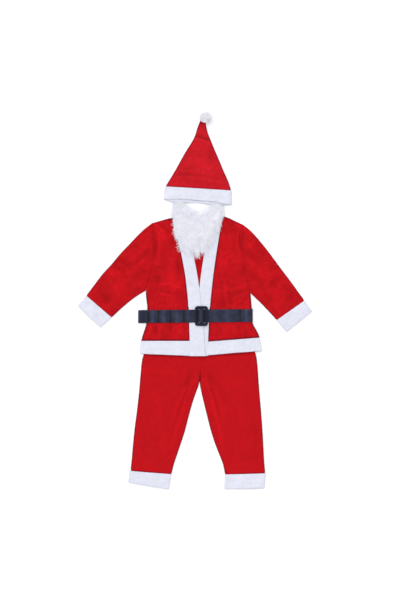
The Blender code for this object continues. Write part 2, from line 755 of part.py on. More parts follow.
def make_beard_fur(fur):
    """Fur in locks that run out from the beard's inner edge: every second row is one, the others dip."""
    inner, outer = beard_edges()
    number = np.arange(FUR_ROWS)
    lock = number % 2
    length = 4.0 * np.sin(2.1 * number) + 3.0 * np.sin(0.7 * number + 1.0)
    free = 1.0 - rise(outer[:, 1], 330.0, 352.0)
    share = np.array(FUR_SPREAD)
    grid = ruled(inner, outer, share)
    grid[:, -1] += unit(outer - inner) * ((7.0 * (lock - 1) + length * lock) * free)[:, None]
    crown = FUR_ARM + (FUR_CROWN - FUR_ARM) * (1.0 - rise(grid[..., 1], 285.0, 352.0))
    bulge = np.sin(math.pi * share**0.8)[None, :] ** 0.8
    ridge = 1.0 - 0.16 * (1.0 - lock)[:, None] * free[:, None]
    depth = np.maximum(FUR_EDGE, crown * bulge * ridge)
    low = under_beard(grid) + BACKING + GAP
    wall("beard_fur", raised(grid, low + depth), raised(grid, low), fur)


# ------------------------------------------------------------------------------------------- belt
def strap_y(x):
    return STRAP_Y + STRAP_SLOPE * (np.asarray(x, float) - BUCKLE_X)


def jacket_top(x):
    """The jacket's greatest height under the belt, at each x."""
    x = np.asarray(x, float)
    highest = np.zeros(x.shape)
    for level in np.linspace(-83.0, -29.0, 7):
        grid = np.stack((x, np.full(x.shape, level)), axis=-1)
        height = under_jacket(grid) + jacket_space(grid) + 2 * FELT
        in_trims = (x > x_at(FRONT_EDGE["right"], level) - 4.0) & (x < x_at(FRONT_EDGE["left"], level) + 4.0)
        lap = trim_lap(grid) * (x < x_at(TRIM_EDGE["right"], level) + 4.0)
        trims = trim_height(grid) + WHITE + lap
        highest = np.maximum(highest, np.where(in_trims, trims, height))
    return highest


def eased(x, heights, reach):
    """The highest of the neighbours within reach, then their mean, so that a strap lies over steps."""
    near = np.abs(x[:, None] - x[None, :]) <= reach
    crest = np.where(near, heights[None, :], -1.0).max(axis=1)
    return (near * crest[None, :]).sum(axis=1) / near.sum(axis=1)


def buckle_levels():
    """Under side of the buckle's frame, and height of the strap's middle under its sides and over its bar."""
    seat = eased_top(np.array((BUCKLE_X,)))[0] + GAP
    below = seat + STRAP_THICK / 2
    frame = seat + STRAP_THICK + GAP
    above = frame + BAR_THICK + GAP + STRAP_THICK / 2
    return frame, below, above


def eased_top(wanted):
    x = np.arange(-176.0, 210.0, 2.0)
    return np.interp(wanted, x, eased(x, jacket_top(x), 8.0))


def strap_path():
    """The strap's middle line as (x, z), from its lower end round the jacket to its upper end."""
    half = STRAP_THICK / 2
    path = [(STRAP_LAP[1], half)]
    path += [(x, half) for x in np.linspace(STRAP_LAP[0] - 15.0, STRAP_TAIL_X + 6.0, 6)]
    tail_radius = half + FOLD_SPACE / 2
    tail_x = STRAP_TAIL_X + half + tail_radius
    for angle in np.radians((0.0, 45.0, 90.0, 135.0, 180.0)):
        path.append((tail_x - tail_radius * math.sin(angle), half + tail_radius * (1.0 - math.cos(angle))))
    tail_top = half + 2 * tail_radius
    edge_top = eased_top(np.array((-176.0,)))[0] + GAP + half
    for share in (0.0, 0.25, 0.5, 0.75, 1.0):
        path.append((-194.0 + 15.0 * share, tail_top + (edge_top - tail_top) * float(rise(share, 0.0, 1.0))))
    frame, below, above = buckle_levels()
    side_inner = BUCKLE_WIDTH / 2 - BUCKLE_SIDE
    bar_half = BAR_WIDTH / 2
    before = np.concatenate((np.arange(-172.0, -24.0, 18.0), np.arange(-24.0, -2.0, 5.0)))
    after = np.concatenate((np.arange(52.0, 60.0, 4.0), np.arange(60.0, 209.0, 18.0)))
    over_jacket = eased_top(before) + GAP + half
    path += list(zip(before, over_jacket))
    weave = (
        (-side_inner - 7.0, below),
        (-side_inner + 0.6, below),
        (-side_inner + 3.0, below * 0.7 + above * 0.3),
        (-bar_half - 2.6, below * 0.25 + above * 0.75),
        (-bar_half - 0.4, above),
        (0.0, above),
    )
    path += [(BUCKLE_X + x, z) for x, z in weave]
    path += [(BUCKLE_X - x, z) for x, z in weave[-2::-1]]
    path += list(zip(after, eased_top(after) + GAP + half))
    turn_top = path[-1][1]
    radius = (turn_top - half) / 2
    turn_x = STRAP_TURN_X - half - radius
    for angle in np.radians((0.0, 30.0, 60.0, 90.0, 120.0, 150.0, 180.0)):
        path.append((turn_x + radius * math.sin(angle), half + radius * (1.0 + math.cos(angle))))
    path += [(x, half) for x in (160.0, 110.0, 75.0)]
    lap_z = half + STRAP_THICK + GAP
    path += [(62.0, half + 0.5 * (lap_z - half)), (52.0, lap_z), (25.0, lap_z), (STRAP_LAP[0], lap_z)]
    return np.array(path)


def make_strap(strap):
    path = strap_path()
    ahead = np.vstack((path[1:], 2 * path[-1] - path[-2])) - np.vstack((2 * path[0] - path[1], path[:-1]))
    ahead = unit(ahead)
    normal = np.column_stack((-ahead[:, 1], ahead[:, 0]))
    edges = []
    for offset in (-STRAP_THICK / 2, STRAP_THICK / 2):
        line = path + normal * offset
        rows = []
        for across in (-0.5, 0.0, 0.5):
            y = strap_y(path[:, 0]) + across * STRAP_WIDTH
            rows.append(np.column_stack((line[:, 0], y, np.maximum(line[:, 1], 0.0))))
        edges.append(np.stack(rows, axis=1))
    wall("belt_strap", edges[0], edges[1], strap)


def box(name, centre, size):
    made_mesh = bpy.data.meshes.new(name)
    work = bmesh.new()
    bmesh.ops.create_cube(work, size=1.0)
    for vertex in work.verts:
        vertex.co = [(centre[i] + vertex.co[i] * size[i]) * MM for i in range(3)]
    work.to_mesh(made_mesh)
    work.free()
    made = bpy.data.objects.new(name, made_mesh)
    bpy.context.scene.collection.objects.link(made)
    return made


def bevel(target, width, segments, upright):
    """Rounds a box's upright edges, or the edges of its upper and under faces."""
    work = bmesh.new()
    work.from_mesh(target.data)
    chosen = []
    for edge in work.edges:
        is_upright = abs(edge.verts[0].co.z - edge.verts[1].co.z) > 1e-6
        if is_upright == upright:
            chosen.append(edge)
    bmesh.ops.bevel(work, geom=chosen, offset=width * MM, segments=segments, profile=0.5, affect="EDGES")
    work.to_mesh(target.data)
    work.free()


def make_buckle(plastic):
    """A flat frame with a thinner middle bar: a rounded plate, cut by two slots and a recess over the bar."""
    frame = buckle_levels()[0]
    middle_z = frame + BUCKLE_THICK / 2
    centre_y = float(strap_y(BUCKLE_X))
    plate = box("belt_buckle", (BUCKLE_X, centre_y, middle_z), (BUCKLE_WIDTH, BUCKLE_HEIGHT, BUCKLE_THICK))
    bevel(plate, BUCKLE_CORNER, 5, upright=True)
    bevel(plate, RIM_ROUND, 2, upright=False)
    plate.data.materials.append(plastic)
    opening = BUCKLE_HEIGHT - 2 * BUCKLE_RAIL
    slot_width = (BUCKLE_WIDTH - 2 * BUCKLE_SIDE - BAR_WIDTH) / 2
    slot_offset = (BAR_WIDTH + slot_width) / 2
    cutters = []
    for direction in (-1, 1):
        place = (BUCKLE_X + direction * slot_offset, centre_y, middle_z)
        cutters.append(box(f"slot_{len(cutters)}", place, (slot_width, opening, 3 * BUCKLE_THICK)))
    recess_z = frame + BAR_THICK + BUCKLE_THICK
    recess = (BAR_WIDTH + slot_width, opening, 2 * BUCKLE_THICK)
    cutters.append(box("recess", (BUCKLE_X, centre_y, recess_z), recess))
    for cutter in cutters:
        cutter.hide_render = True
        cutter.display_type = "WIRE"
        cut = plate.modifiers.new(cutter.name, "BOOLEAN")
        cut.operation = "DIFFERENCE"
        cut.solver = "EXACT"
        cut.object = cutter


def build():
    for old in list(bpy.data.objects):
        bpy.data.objects.remove(old)
    red = felt("red_felt", (0.54, 0.009, 0.014), 0.92)
    white = felt("white_felt", (0.80, 0.82, 0.92), 0.92)
    fur = felt("white_fur", (0.80, 0.82, 0.90), 0.95)
    strap = felt("belt_webbing", (0.032, 0.036, 0.060), 0.6)
    plastic = felt("buckle_plastic", (0.012, 0.013, 0.024), 0.35)
    make_hat(red, white)
    make_pompom(fur)
    make_beard_backing(white)
    make_beard_fur(fur)
    make_back(red)
    make_fronts(red)
    make_sleeves(red, white)
    make_trims(white)
    make_neck_trim(white)
    make_hems(white)
    make_strap(strap)
    make_buckle(plastic)
    make_legs(red, white)
    make_waistband(red)


build()
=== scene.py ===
"""A child's santa suit laid flat: the cloth, fur, belt and light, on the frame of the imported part."""
from collections import namedtuple

import bpy
import numpy as np
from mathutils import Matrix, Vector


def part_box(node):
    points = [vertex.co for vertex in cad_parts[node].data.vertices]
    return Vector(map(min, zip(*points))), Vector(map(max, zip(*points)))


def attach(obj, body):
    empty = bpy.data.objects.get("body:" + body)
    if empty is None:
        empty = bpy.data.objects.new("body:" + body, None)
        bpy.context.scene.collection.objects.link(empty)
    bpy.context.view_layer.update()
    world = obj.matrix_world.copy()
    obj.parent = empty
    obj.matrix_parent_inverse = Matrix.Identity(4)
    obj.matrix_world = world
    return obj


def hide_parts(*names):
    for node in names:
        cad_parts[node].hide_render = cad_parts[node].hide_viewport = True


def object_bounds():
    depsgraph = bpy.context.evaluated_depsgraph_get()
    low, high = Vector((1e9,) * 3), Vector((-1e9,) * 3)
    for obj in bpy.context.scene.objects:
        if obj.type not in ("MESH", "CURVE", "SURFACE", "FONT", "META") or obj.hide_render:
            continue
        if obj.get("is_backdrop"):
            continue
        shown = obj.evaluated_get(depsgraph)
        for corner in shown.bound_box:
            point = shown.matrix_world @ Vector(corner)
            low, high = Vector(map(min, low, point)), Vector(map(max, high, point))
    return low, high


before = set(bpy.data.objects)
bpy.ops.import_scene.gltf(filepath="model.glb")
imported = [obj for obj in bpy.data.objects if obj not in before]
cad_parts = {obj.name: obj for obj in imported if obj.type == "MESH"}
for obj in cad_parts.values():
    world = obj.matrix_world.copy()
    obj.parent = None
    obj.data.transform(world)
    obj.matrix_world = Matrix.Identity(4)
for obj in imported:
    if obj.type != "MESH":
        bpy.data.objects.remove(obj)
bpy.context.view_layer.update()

# -------------------- trouser legs
# Each leg is one piece of red felt, folded down its outer side and sewn along its inner edge: a tube that
# lies flat, its two layers a few millimetres apart. It is cut with no shaping and creases at the crotch.
MM = 0.001
FELT = 1.2  # mm, needle-punched polyester felt
SEAM_DIP = 2.0  # mm that red cloth goes down at a seam, under what is sewn over it
SEAM_REACH = 4.5  # mm from a seam in which it does so
TUCK = 3.0  # mm that a sleeve, a leg or the hat goes on inside its band
LAP = 1.0  # mm that a piece's edges go past its solid's, so that sewn pieces meet without a gap

LEGS = {  # mm: the ends of the lines that a piece's first and its last row lie on
    "right": (((-130, -119.5), (18, -119.5)), ((-237, -627), (-88.5, -640.5))),
    "left": (((18, -119.5), (166, -119.5)), ((112.5, -641.5), (259, -636.5))),
}
LEG_SWELL = (95.0, 0.1)  # mm, size and height of the cloth's slow swells
CROTCH = 18.0  # mm, its x; the inner seams start there
LEG_CREASES = (  # mm: x and y of its two ends, the bow between them, its width, and its height or depth
    # along the centre seam
    (20, -194, 19, -236, 1, 4.5, -1.7), (27, -194, 21, -228, 2, 9, -0.9),
    # the fold above the crotch, and those beside it
    (18.5, -256, 18, -312, 0, 3.6, -3.4), (44, -262, 62, -350, 4, 6.5, -1.3),
    (-12, -256, -34, -336, -4, 6.5, -1.1),
    # a roll beside the right leg's inner seam
    (6, -286, -52, -420, -9, 5, 1.5), (-34, -380, -84, -560, -7, 6, 1.2), (-6, -300, -70, -452, -9, 6, -1.3),
    (-20, -306, -92, -470, -10, 8, 0.7),
    # and beside the left's
    (30, -286, 74, -420, 9, 5, 1.5), (62, -380, 102, -560, 7, 6, 1.2), (42, -300, 92, -452, 9, 6, -1.3),
    (56, -306, 112, -470, 10, 8, 0.7),
    # drawn to the crotch
    (-14, -270, -72, -330, 5, 7, -0.9), (54, -270, 104, -336, -5, 7, -0.9),
    # pressed in under the jacket's hem, and painted dark there as the hem's painted shadow
    (-226, -200, 48, -209, 0, 4, -2.2), (2, -208, 286, -186, -2, 4, -2.2),
    # across the thighs, where it was packed folded
    (-222, -262, -60, -276, 5, 5, 0.48), (-214, -272, -64, -287, 5, 5, -0.42),
    (216, -286, 96, -318, 6, 8, 0.42), (212, -238, 130, -228, -4, 7, -0.36),
    # down the legs
    (-150, -330, -128, -452, 6, 13, 0.36), (-190, -440, -176, -600, -5, 12, -0.36),
    (-126, -470, -118, -612, 4, 10, 0.3), (160, -350, 182, -470, -6, 13, 0.36),
    (216, -430, 224, -610, 5, 12, -0.36), (152, -510, 164, -618, -4, 9, 0.3),
    # above the ankle bands
    (-232, -590, -130, -612, 4, 7, 0.42), (126, -604, 236, -596, -5, 7, 0.42),
)


def linear(hex_colour):
    """An sRGB hex colour as linear red, green, blue and 1."""
    share = np.array([int(hex_colour[i : i + 2], 16) for i in (1, 3, 5)]) / 255
    return (*np.where(share <= 0.04045, share / 12.92, ((share + 0.055) / 1.055) ** 2.4), 1.0)


def add_node(tree, kind, output, stops=(), **settings):
    """Adds a shader node and gives one of its outputs. A setting is for the socket of that name or
    identifier, or else for the node itself; a setting that is another node's output is linked. stops are a
    colour ramp's places and hex colours, its two ends first."""
    node = tree.nodes.new("ShaderNode" + kind)
    for name, value in settings.items():
        sockets = [one for one in node.inputs if name in (one.identifier, one.name.replace(" ", "_"))]
        if not sockets:
            setattr(node, name, value)
        elif isinstance(value, bpy.types.NodeSocket):
            tree.links.new(value, sockets[0])
        else:
            sockets[0].default_value = value
    for i, (place, colour) in enumerate(stops):
        stop = node.color_ramp.elements[i] if i < 2 else node.color_ramp.elements.new(place)
        stop.position = place
        stop.color = linear(colour)
    return node.outputs[output]


def new_material(name, roughness, **shine):
    """A Principled material: itself, its node tree, its shader and its Object coordinates."""
    material = bpy.data.materials.new(name)
    material.use_nodes = True
    tree = material.node_tree
    shader = tree.nodes["Principled BSDF"]
    for socket, value in {"Roughness": roughness, **shine}.items():
        shader.inputs[socket.replace("_", " ")].default_value = value
    return material, tree, shader, add_node(tree, "TexCoord", "Object")


def needled_felt(name, dark, mid, light, edge, edge_width, fold, crinkling, crumpled):
    """Felt: polyester fibres needled into a mat and brushed. It is matte and has no weave, only clouds
    where the mat is thicker, a fibre grain, and a brushed pile that catches a little light. Real fibres are
    0.02 mm thick, so the grain is drawn at 1.3 mm and the clouds at 14 mm, which is what shows. Painted
    shade takes it to the edge colour where it turns down at an edge, over edge_width in mm, and painted
    shade and light make it darker in a trough and lighter on a ridge, by the height that the mesh carries;
    fold is how much lighter. crinkling is the height in mm of the small sharp crumples of a cloth that was
    packed tight, and crumpled how much lighter their ridges and darker their hollows are painted, as painted
    light and shade."""
    material, tree, shader, place = new_material(
        name, 0.94, IOR=1.5, Specular_IOR_Level=0.1, Sheen_Weight=0.04, Sheen_Roughness=0.6,
        Sheen_Tint=linear(light),
    )
    clouds = add_node(tree, "TexNoise", "Fac", Vector=place, Scale=1 / (14 * MM), Detail=4.0, Roughness=0.6)
    grain = add_node(tree, "TexNoise", "Fac", Vector=place, Scale=1 / (1.3 * MM), Detail=3.0, Roughness=0.7)
    crinkle = add_node(
        tree, "TexNoise", "Fac", noise_type="RIDGED_MULTIFRACTAL", Vector=place, Scale=1 / (34 * MM),
        Detail=3.0, Roughness=0.6, Offset=0.9, Gain=1.6, Distortion=0.5,
    )
    mat = add_node(tree, "Mix", 0, Factor=0.45, A=clouds, B=grain)
    cloth = add_node(tree, "ValToRGB", "Color", ((0.36, dark), (0.66, light), (0.5, mid)), Fac=mat)
    # painted shade at the edges: within edge_width of an edge the cloth goes over to the edge colour
    from_edge = add_node(tree, "Attribute", "Fac", attribute_name="edge")
    near = add_node(
        tree, "MapRange", "Result", Value=from_edge, From_Min=0.4 * edge_width, From_Max=edge_width,
        To_Min=1.0, To_Max=0.0,
    )
    colour = add_node(tree, "Mix", 2, data_type="RGBA", Factor=near, A_Color=cloth, B_Color=linear(edge))
    height = add_node(tree, "Attribute", "Fac", attribute_name="fold")
    full = 2.2  # mm, the height and the depth at which the painted crease light and shade are lightest and darkest
    crease_light_and_shade = add_node(
        tree, "MapRange", "Result", Value=height, From_Min=-full, From_Max=full, To_Min=1.0 - 1.6 * fold,
        To_Max=1.0 + fold,
    )
    # painted light and shade on the crumples: lighter on their ridges, darker in their hollows
    crumple_light_and_shade = add_node(
        tree, "MapRange", "Result", Value=crinkle, From_Min=0.2, From_Max=1.4, To_Min=1.0 - crumpled,
        To_Max=1.0 + crumpled,
    )
    lit = add_node(tree, "Math", "Value", operation="MULTIPLY", Value=crease_light_and_shade, Value_001=crumple_light_and_shade)
    shaded_colour = add_node(tree, "VectorMath", "Vector", operation="SCALE", Vector=colour, Scale=lit)
    tree.links.new(shaded_colour, shader.inputs["Base Color"])
    crinkled = add_node(tree, "Bump", "Normal", Strength=1.0, Distance=crinkling * MM, Height=crinkle)
    bump = add_node(tree, "Bump", "Normal", Strength=0.9, Distance=0.35 * MM, Height=grain, Normal=crinkled)
    tree.links.new(bump, shader.inputs["Normal"])
    return material


def solid(node):
    """A node's points in mm, and its triangles as rows of three point numbers."""
    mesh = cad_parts[node].data
    points = np.empty(len(mesh.vertices) * 3)
    mesh.vertices.foreach_get("co", points)
    corners = np.empty(len(mesh.loops), int)
    mesh.loops.foreach_get("vertex_index", corners)
    return points.reshape(-1, 3) / MM, corners.reshape(-1, 3)


def rise(value, low, high):
    """0 below low, 1 above high, and a smooth step between them."""
    share = np.clip((value - low) / (high - low), 0.0, 1.0)
    return share * share * (3.0 - 2.0 * share)


def softened(values, reach, axis=0):
    """A running mean with bell-shaped weights, reach steps wide, that leaves the two ends where they are."""
    values = np.moveaxis(values, axis, 0)
    span = min(3 * reach, len(values) - 1)
    before = 2 * values[:1] - values[span:0:-1]
    after = 2 * values[-1:] - values[-2 : -span - 2 : -1]
    row = np.concatenate((before, values, after))
    bell = np.exp(-0.5 * (np.arange(-span, span + 1) / reach) ** 2)
    total = sum(weight * row[i : i + len(values)] for i, weight in enumerate(bell / bell.sum()))
    return np.moveaxis(total, 0, axis)


def crowded(count, share=0.8):
    """Places from 0 to 1 that crowd at both ends: a mix of even steps and of half a cosine wave."""
    even = np.linspace(0.0, 1.0, count)
    return (1.0 - share) * even + share * (1.0 - np.cos(np.pi * even)) / 2


def run_along(points, axis=0):
    """Distance along a line of points, or along each line of a grid on one axis, from its first point."""
    step = np.linalg.norm(np.diff(points, axis=axis), axis=-1)
    return np.concatenate((np.zeros_like(np.take(step, [0], axis)), np.cumsum(step, axis)), axis)


def unit(vectors):
    """Vectors made 1 long."""
    return vectors / np.maximum(np.linalg.norm(vectors, axis=-1, keepdims=True), 1e-9)


def curve(table, shares):
    """Points at shares of the length of the smooth curve through a table's points: a Catmull-Rom spline."""
    knots = np.array(table, float)
    padded = np.vstack((2 * knots[0] - knots[1], knots, 2 * knots[-1] - knots[-2]))
    a, b, c, d = (padded[i : len(padded) - 3 + i, None] for i in range(4))
    t = np.linspace(0.0, 1.0, 24)[None, :, None]
    bend = (2 * a - 5 * b + 4 * c - d) * t**2 + (3 * b - a - 3 * c + d) * t**3
    fine = (0.5 * (2 * b + (c - a) * t + bend)).reshape(-1, knots.shape[1])
    run = run_along(fine)
    return np.column_stack([np.interp(np.asarray(shares) * run[-1], run, line) for line in fine.T])


def lapped(plan):
    """A plan spread over its edges by the lap. The points inside move less and less, over about 10 mm."""
    for axis in (0, 1):
        grid = np.moveaxis(plan, axis, 0)
        run = run_along(grid)
        for edge, inside, away in ((0, 2, run), (-1, -3, run[-1:] - run)):
            grid = grid + unit(grid[edge] - grid[inside]) * (LAP * np.exp(-away / 4.0))[..., None]
        plan = np.moveaxis(grid, 0, axis)
    return plan


def tucked(plan, reach):
    """A plan whose last rows go on by reach in mm and draw in a little, inside the band sewn over them."""
    away = run_along(plan[::-1])[::-1, :, None]
    plan = plan + unit(plan[-1] - plan[-3]) * reach * np.exp(-away / 10.0)
    inward = plan.mean(axis=1, keepdims=True) - plan
    width = np.linalg.norm(plan[:, -1:] - plan[:, :1], axis=-1, keepdims=True)
    return plan + inward * 5.0 / width * np.exp(-((away / 4.0) ** 2))


def plan_of(node, lines, rows, columns, first_edge=None, last_edge=None, tuck=0.0):
    """A piece's grid of plan points, in mm. A fan of straight lines turns from the first of lines to the
    last, each is cut at the outermost places where it crosses the solid's edges, and the two side lines so
    found are softened over three rows. The first and the last line lie 1 mm inside the solid. Where an end
    is a curve and not straight, the rows near it are drawn over to that curve. tuck is how far the last
    rows go under a band."""
    points, corners = solid(node)
    edges = np.concatenate((corners[:, [0, 1]], corners[:, [1, 2]], corners[:, [2, 0]]))
    first, last = (np.array(line, float) for line in lines)
    inset = 1.0 / np.linalg.norm(last.mean(0) - first.mean(0))
    turn = inset + (1.0 - 2 * inset) * crowded(rows)[:, None]
    begin = (1 - turn) * first[0] + turn * last[0]
    end = (1 - turn) * first[1] + turn * last[1]
    way = unit(end - begin)
    offset = points[None, :, :2] - begin[:, None]
    along = (offset * way[:, None]).sum(-1)
    beside = way[:, None, 0] * offset[..., 1] - way[:, None, 1] * offset[..., 0]
    low, high = beside[:, edges[:, 0]], beside[:, edges[:, 1]]
    crossed = (low < 0) != (high < 0)
    share = low / np.where(crossed, low - high, 1.0)
    place = along[:, edges[:, 0]] * (1 - share) + along[:, edges[:, 1]] * share
    start = begin + way * np.where(crossed, place, np.inf).min(1)[:, None]
    stop = begin + way * np.where(crossed, place, -np.inf).max(1)[:, None]
    start, stop = softened(start, 3)[:, None], softened(stop, 3)[:, None]
    across = crowded(columns)[None, :, None]
    plan = start * (1 - across) + stop * across
    for edge, row, fade in ((first_edge, 0, 1 - turn), (last_edge, -1, turn)):
        if edge is not None:
            pull = curve(edge, crowded(columns)) - plan[row]
            plan = plan + pull[None] * (fade**2 * (3 - 2 * fade))[:, :, None]
    plan = lapped(plan)
    return tucked(plan, tuck) if tuck else plan


def level(node, plan, way=1):
    """Height in mm of a node's upper side over a plan, or of its under side with way -1. A point takes the
    plane of the outermost flat-lying triangle that holds it, or of the nearest one where it lies outside
    them all."""
    points, corners = solid(node)
    a, b, c = (points[corners[:, k]] for k in range(3))
    normal = np.cross(b - a, c - a)
    sliver = 0.2  # mm2
    lying = way * normal[:, 2] > np.maximum(0.8 * np.linalg.norm(normal, axis=1), sliver)
    a, b, c, normal = a[lying], b[lying], c[lying], normal[lying]
    x, y = plan[..., 0].reshape(1, -1), plan[..., 1].reshape(1, -1)

    def twice_area(p, q):
        return (q[:, :1] - p[:, :1]) * (y - p[:, 1:2]) - (q[:, 1:2] - p[:, 1:2]) * (x - p[:, :1])

    inner = np.minimum.reduce([twice_area(p, q) / normal[:, 2:] for p, q in ((a, b), (b, c), (c, a))])
    height = a[:, 2:] - (normal[:, :1] * (x - a[:, :1]) + normal[:, 1:2] * (y - a[:, 1:2])) / normal[:, 2:]
    holds = inner > -1e-4
    found = way * np.where(holds, way * height, -np.inf).max(0)
    nearest = height[(inner * np.sqrt(np.abs(normal[:, 2:]))).argmax(0), np.arange(x.size)]
    found = np.where(holds.any(0), found, np.clip(nearest, points[:, 2].min(), points[:, 2].max()))
    return found.reshape(plan.shape[:2])


def steady(heights, outer=2):
    """Heights whose outer rows, and outer two columns, are those of the next one inside, and of which each
    is the median of five along both axes: near a solid's edges, or on a step, level can miss."""
    skips = zip(heights.shape, (outer, 2))
    rows, columns = (np.clip(np.arange(count), skip, count - 1 - skip) for count, skip in skips)
    heights = heights[rows][:, columns]
    for axis in (0, 1):
        span = ((2, 2), (0, 0)) if axis == 0 else ((0, 0), (2, 2))
        longer = np.pad(heights, span, mode="edge")
        near = [np.take(longer, np.arange(heights.shape[axis]) + i, axis) for i in range(5)]
        heights = np.median(near, axis=0)
    return heights


def eased(node, plan, reach=2, way=1):
    """The level of a node over a plan, steadied, and softened along both axes, by reach across."""
    return softened(softened(steady(level(node, plan, way)), 2), reach, axis=1)


def distances(plan):
    """Each plan point's distance in mm, along its row, from the nearer side, and along its column, from
    the nearer end."""
    runs = ((axis, run_along(plan, axis)) for axis in (1, 0))
    return [np.minimum(run, np.take(run, [-1], axis) - run) for axis, run in runs]


def rounded(distance, radius):
    """A quarter circle in section: 0 at an edge and 1 from radius inwards."""
    near = 1.0 - np.clip(distance / radius, 0.0, 1.0)
    return np.sqrt(1.0 - near**2)


def creased(plan, creases):
    """Sum of soft ridges and troughs. Across its bowed line each is a bell, steeper on one side, and along
    it the height comes up and fades out."""
    total = np.zeros(plan.shape[:-1])
    for x0, y0, x1, y1, bow, width, depth in creases:
        span = np.array((x1 - x0, y1 - y0))
        length = np.hypot(*span)
        offset = plan - (x0, y0)
        along = offset @ span / length**2
        beside = (offset[..., 1] * span[0] - offset[..., 0] * span[1]) / length
        beside = beside - bow * 4 * along * (1 - along)
        steep = width * (1.0 + 0.35 * np.tanh(beside / width))
        fade = rise(along, -0.12, 0.3) * (1.0 - rise(along, 0.62, 1.12))
        total += depth * fade * np.exp(-((beside / steep) ** 2))
    return total


def swells(plan, seed, size, height):
    """Slow swells of loose cloth: seven sine waves of about one size, in directions drawn from the seed."""
    rng = np.random.default_rng(seed)
    total = np.zeros(plan.shape[:-1])
    drawn = [rng.uniform(low, high, 7) for low, high in ((0, np.pi), (0.6, 1.5), (0, 6.3))]
    for turn, stretch, start in zip(*drawn):
        way = np.array((np.cos(turn), np.sin(turn))) * 2 * np.pi / (size * stretch)
        total += np.sin(plan @ way + start)
    return total * height / np.sqrt(7 / 2)


def add_mesh(name, points, faces, material, **values):
    """An object from points in mm, shaded smooth. values are what each point carries for the material:
    edge, its distance in mm from its cloth's edge, for the painted edge shade, fold, the height in mm of its
    crease, which is painted as light and shade, and thin, from 0 to 1, how far fur is painted in shade."""
    mesh = bpy.data.meshes.new(name)
    mesh.from_pydata((points * MM).tolist(), [], faces.tolist())
    for title, value in values.items():
        attribute = mesh.attributes.new(title, "FLOAT", "POINT")
        attribute.data.foreach_set("value", np.minimum(value, 50.0).ravel().astype(np.float32))
    mesh.shade_smooth()
    mesh.materials.append(material)
    piece = bpy.data.objects.new(name, mesh)
    bpy.context.scene.collection.objects.link(piece)
    return piece


def numbered(rows, columns, closed):
    """A grid's point numbers; a closed grid's last column is its first again."""
    index = np.arange(rows * columns).reshape(rows, columns)
    return np.hstack((index, index[:, :1])) if closed else index


def quads(index):
    """Faces of a grid of point numbers, as rows of four."""
    ring = (index[:-1, :-1], index[1:, :-1], index[1:, 1:], index[:-1, 1:])
    return np.stack(ring, axis=-1).reshape(-1, 4)


def with_height(plan, height):
    """A plan's points with their height."""
    return np.concatenate((plan, height[..., None]), axis=-1)


def cut_size(plan, layers):
    """The cut of a piece laid flat: its widest and its longest measure, and its area, times its layers."""
    width = run_along(plan, 1)[:, -1].max() * MM * layers
    length = run_along(plan)[-1].max() * MM
    one, two = plan[1:, 1:] - plan[:-1, :-1], plan[1:, :-1] - plan[:-1, 1:]
    area = np.abs(one[..., 0] * two[..., 1] - one[..., 1] * two[..., 0]).sum() / 2 * MM * MM * layers
    return (round(width, 4), round(length, 4)), round(min(area, width * length), 5)


def placed(piece, slot, *nodes):
    """Hides the solids that a piece stands for. It rides on the suit's one body. slot, its finish, is not
    used.
    """
    if nodes:
        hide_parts(*nodes)
    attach(piece, "root")


def dressed(piece, node, slot, cut):
    """Puts a cloth piece in its solid's place: hides the solid and puts the piece on the suit's one body.
    slot and cut are not used.
    """
    placed(piece, slot, node)


def loose(plan, creases, seed, size, height):
    """Creases and swells of a piece, which fade out towards its edges."""
    rim = np.minimum(*distances(plan))
    return rise(rim, 0.5, 8.0) * (creased(plan, creases) + swells(plan, seed, size, height))


def puckers(along, away, pitch, height, seed, clear=0.0):
    """Small waves that a line of stitches gathers beside it: along it by the distance along, and fading
    with the distance away. Their pitch and height wander. They come up over clear in mm from the edge
    itself."""
    phase = along / pitch * 2 * np.pi + 1.7 * np.sin(along / (2.3 * pitch) + seed)
    swing = 0.6 + 0.4 * np.sin(along / (4.7 * pitch) + 2 * seed)
    waves = height * swing * np.sin(phase) * np.exp(-((away / 9.0) ** 2))
    return waves * rise(away, 0.5, clear) if clear else waves


def inset_line(grid, distance, edge):
    """The line on a piece's upper points that runs a distance in mm in from its first row, or from the
    side that its rows start or stop at."""
    turned = grid if edge == "first" else grid.swapaxes(0, 1)
    turned = turned[::-1] if edge == "stop" else turned
    run = run_along(turned[..., :2])
    after = (run < distance).sum(axis=0)
    column = np.arange(turned.shape[1])
    share = (distance - run[after - 1, column]) / (run[after, column] - run[after - 1, column])
    return turned[after - 1, column] * (1 - share)[:, None] + turned[after, column] * share[:, None]


Cloth = namedtuple("Cloth", "thick dip material slot")  # mm, and mm that it goes down at a seam


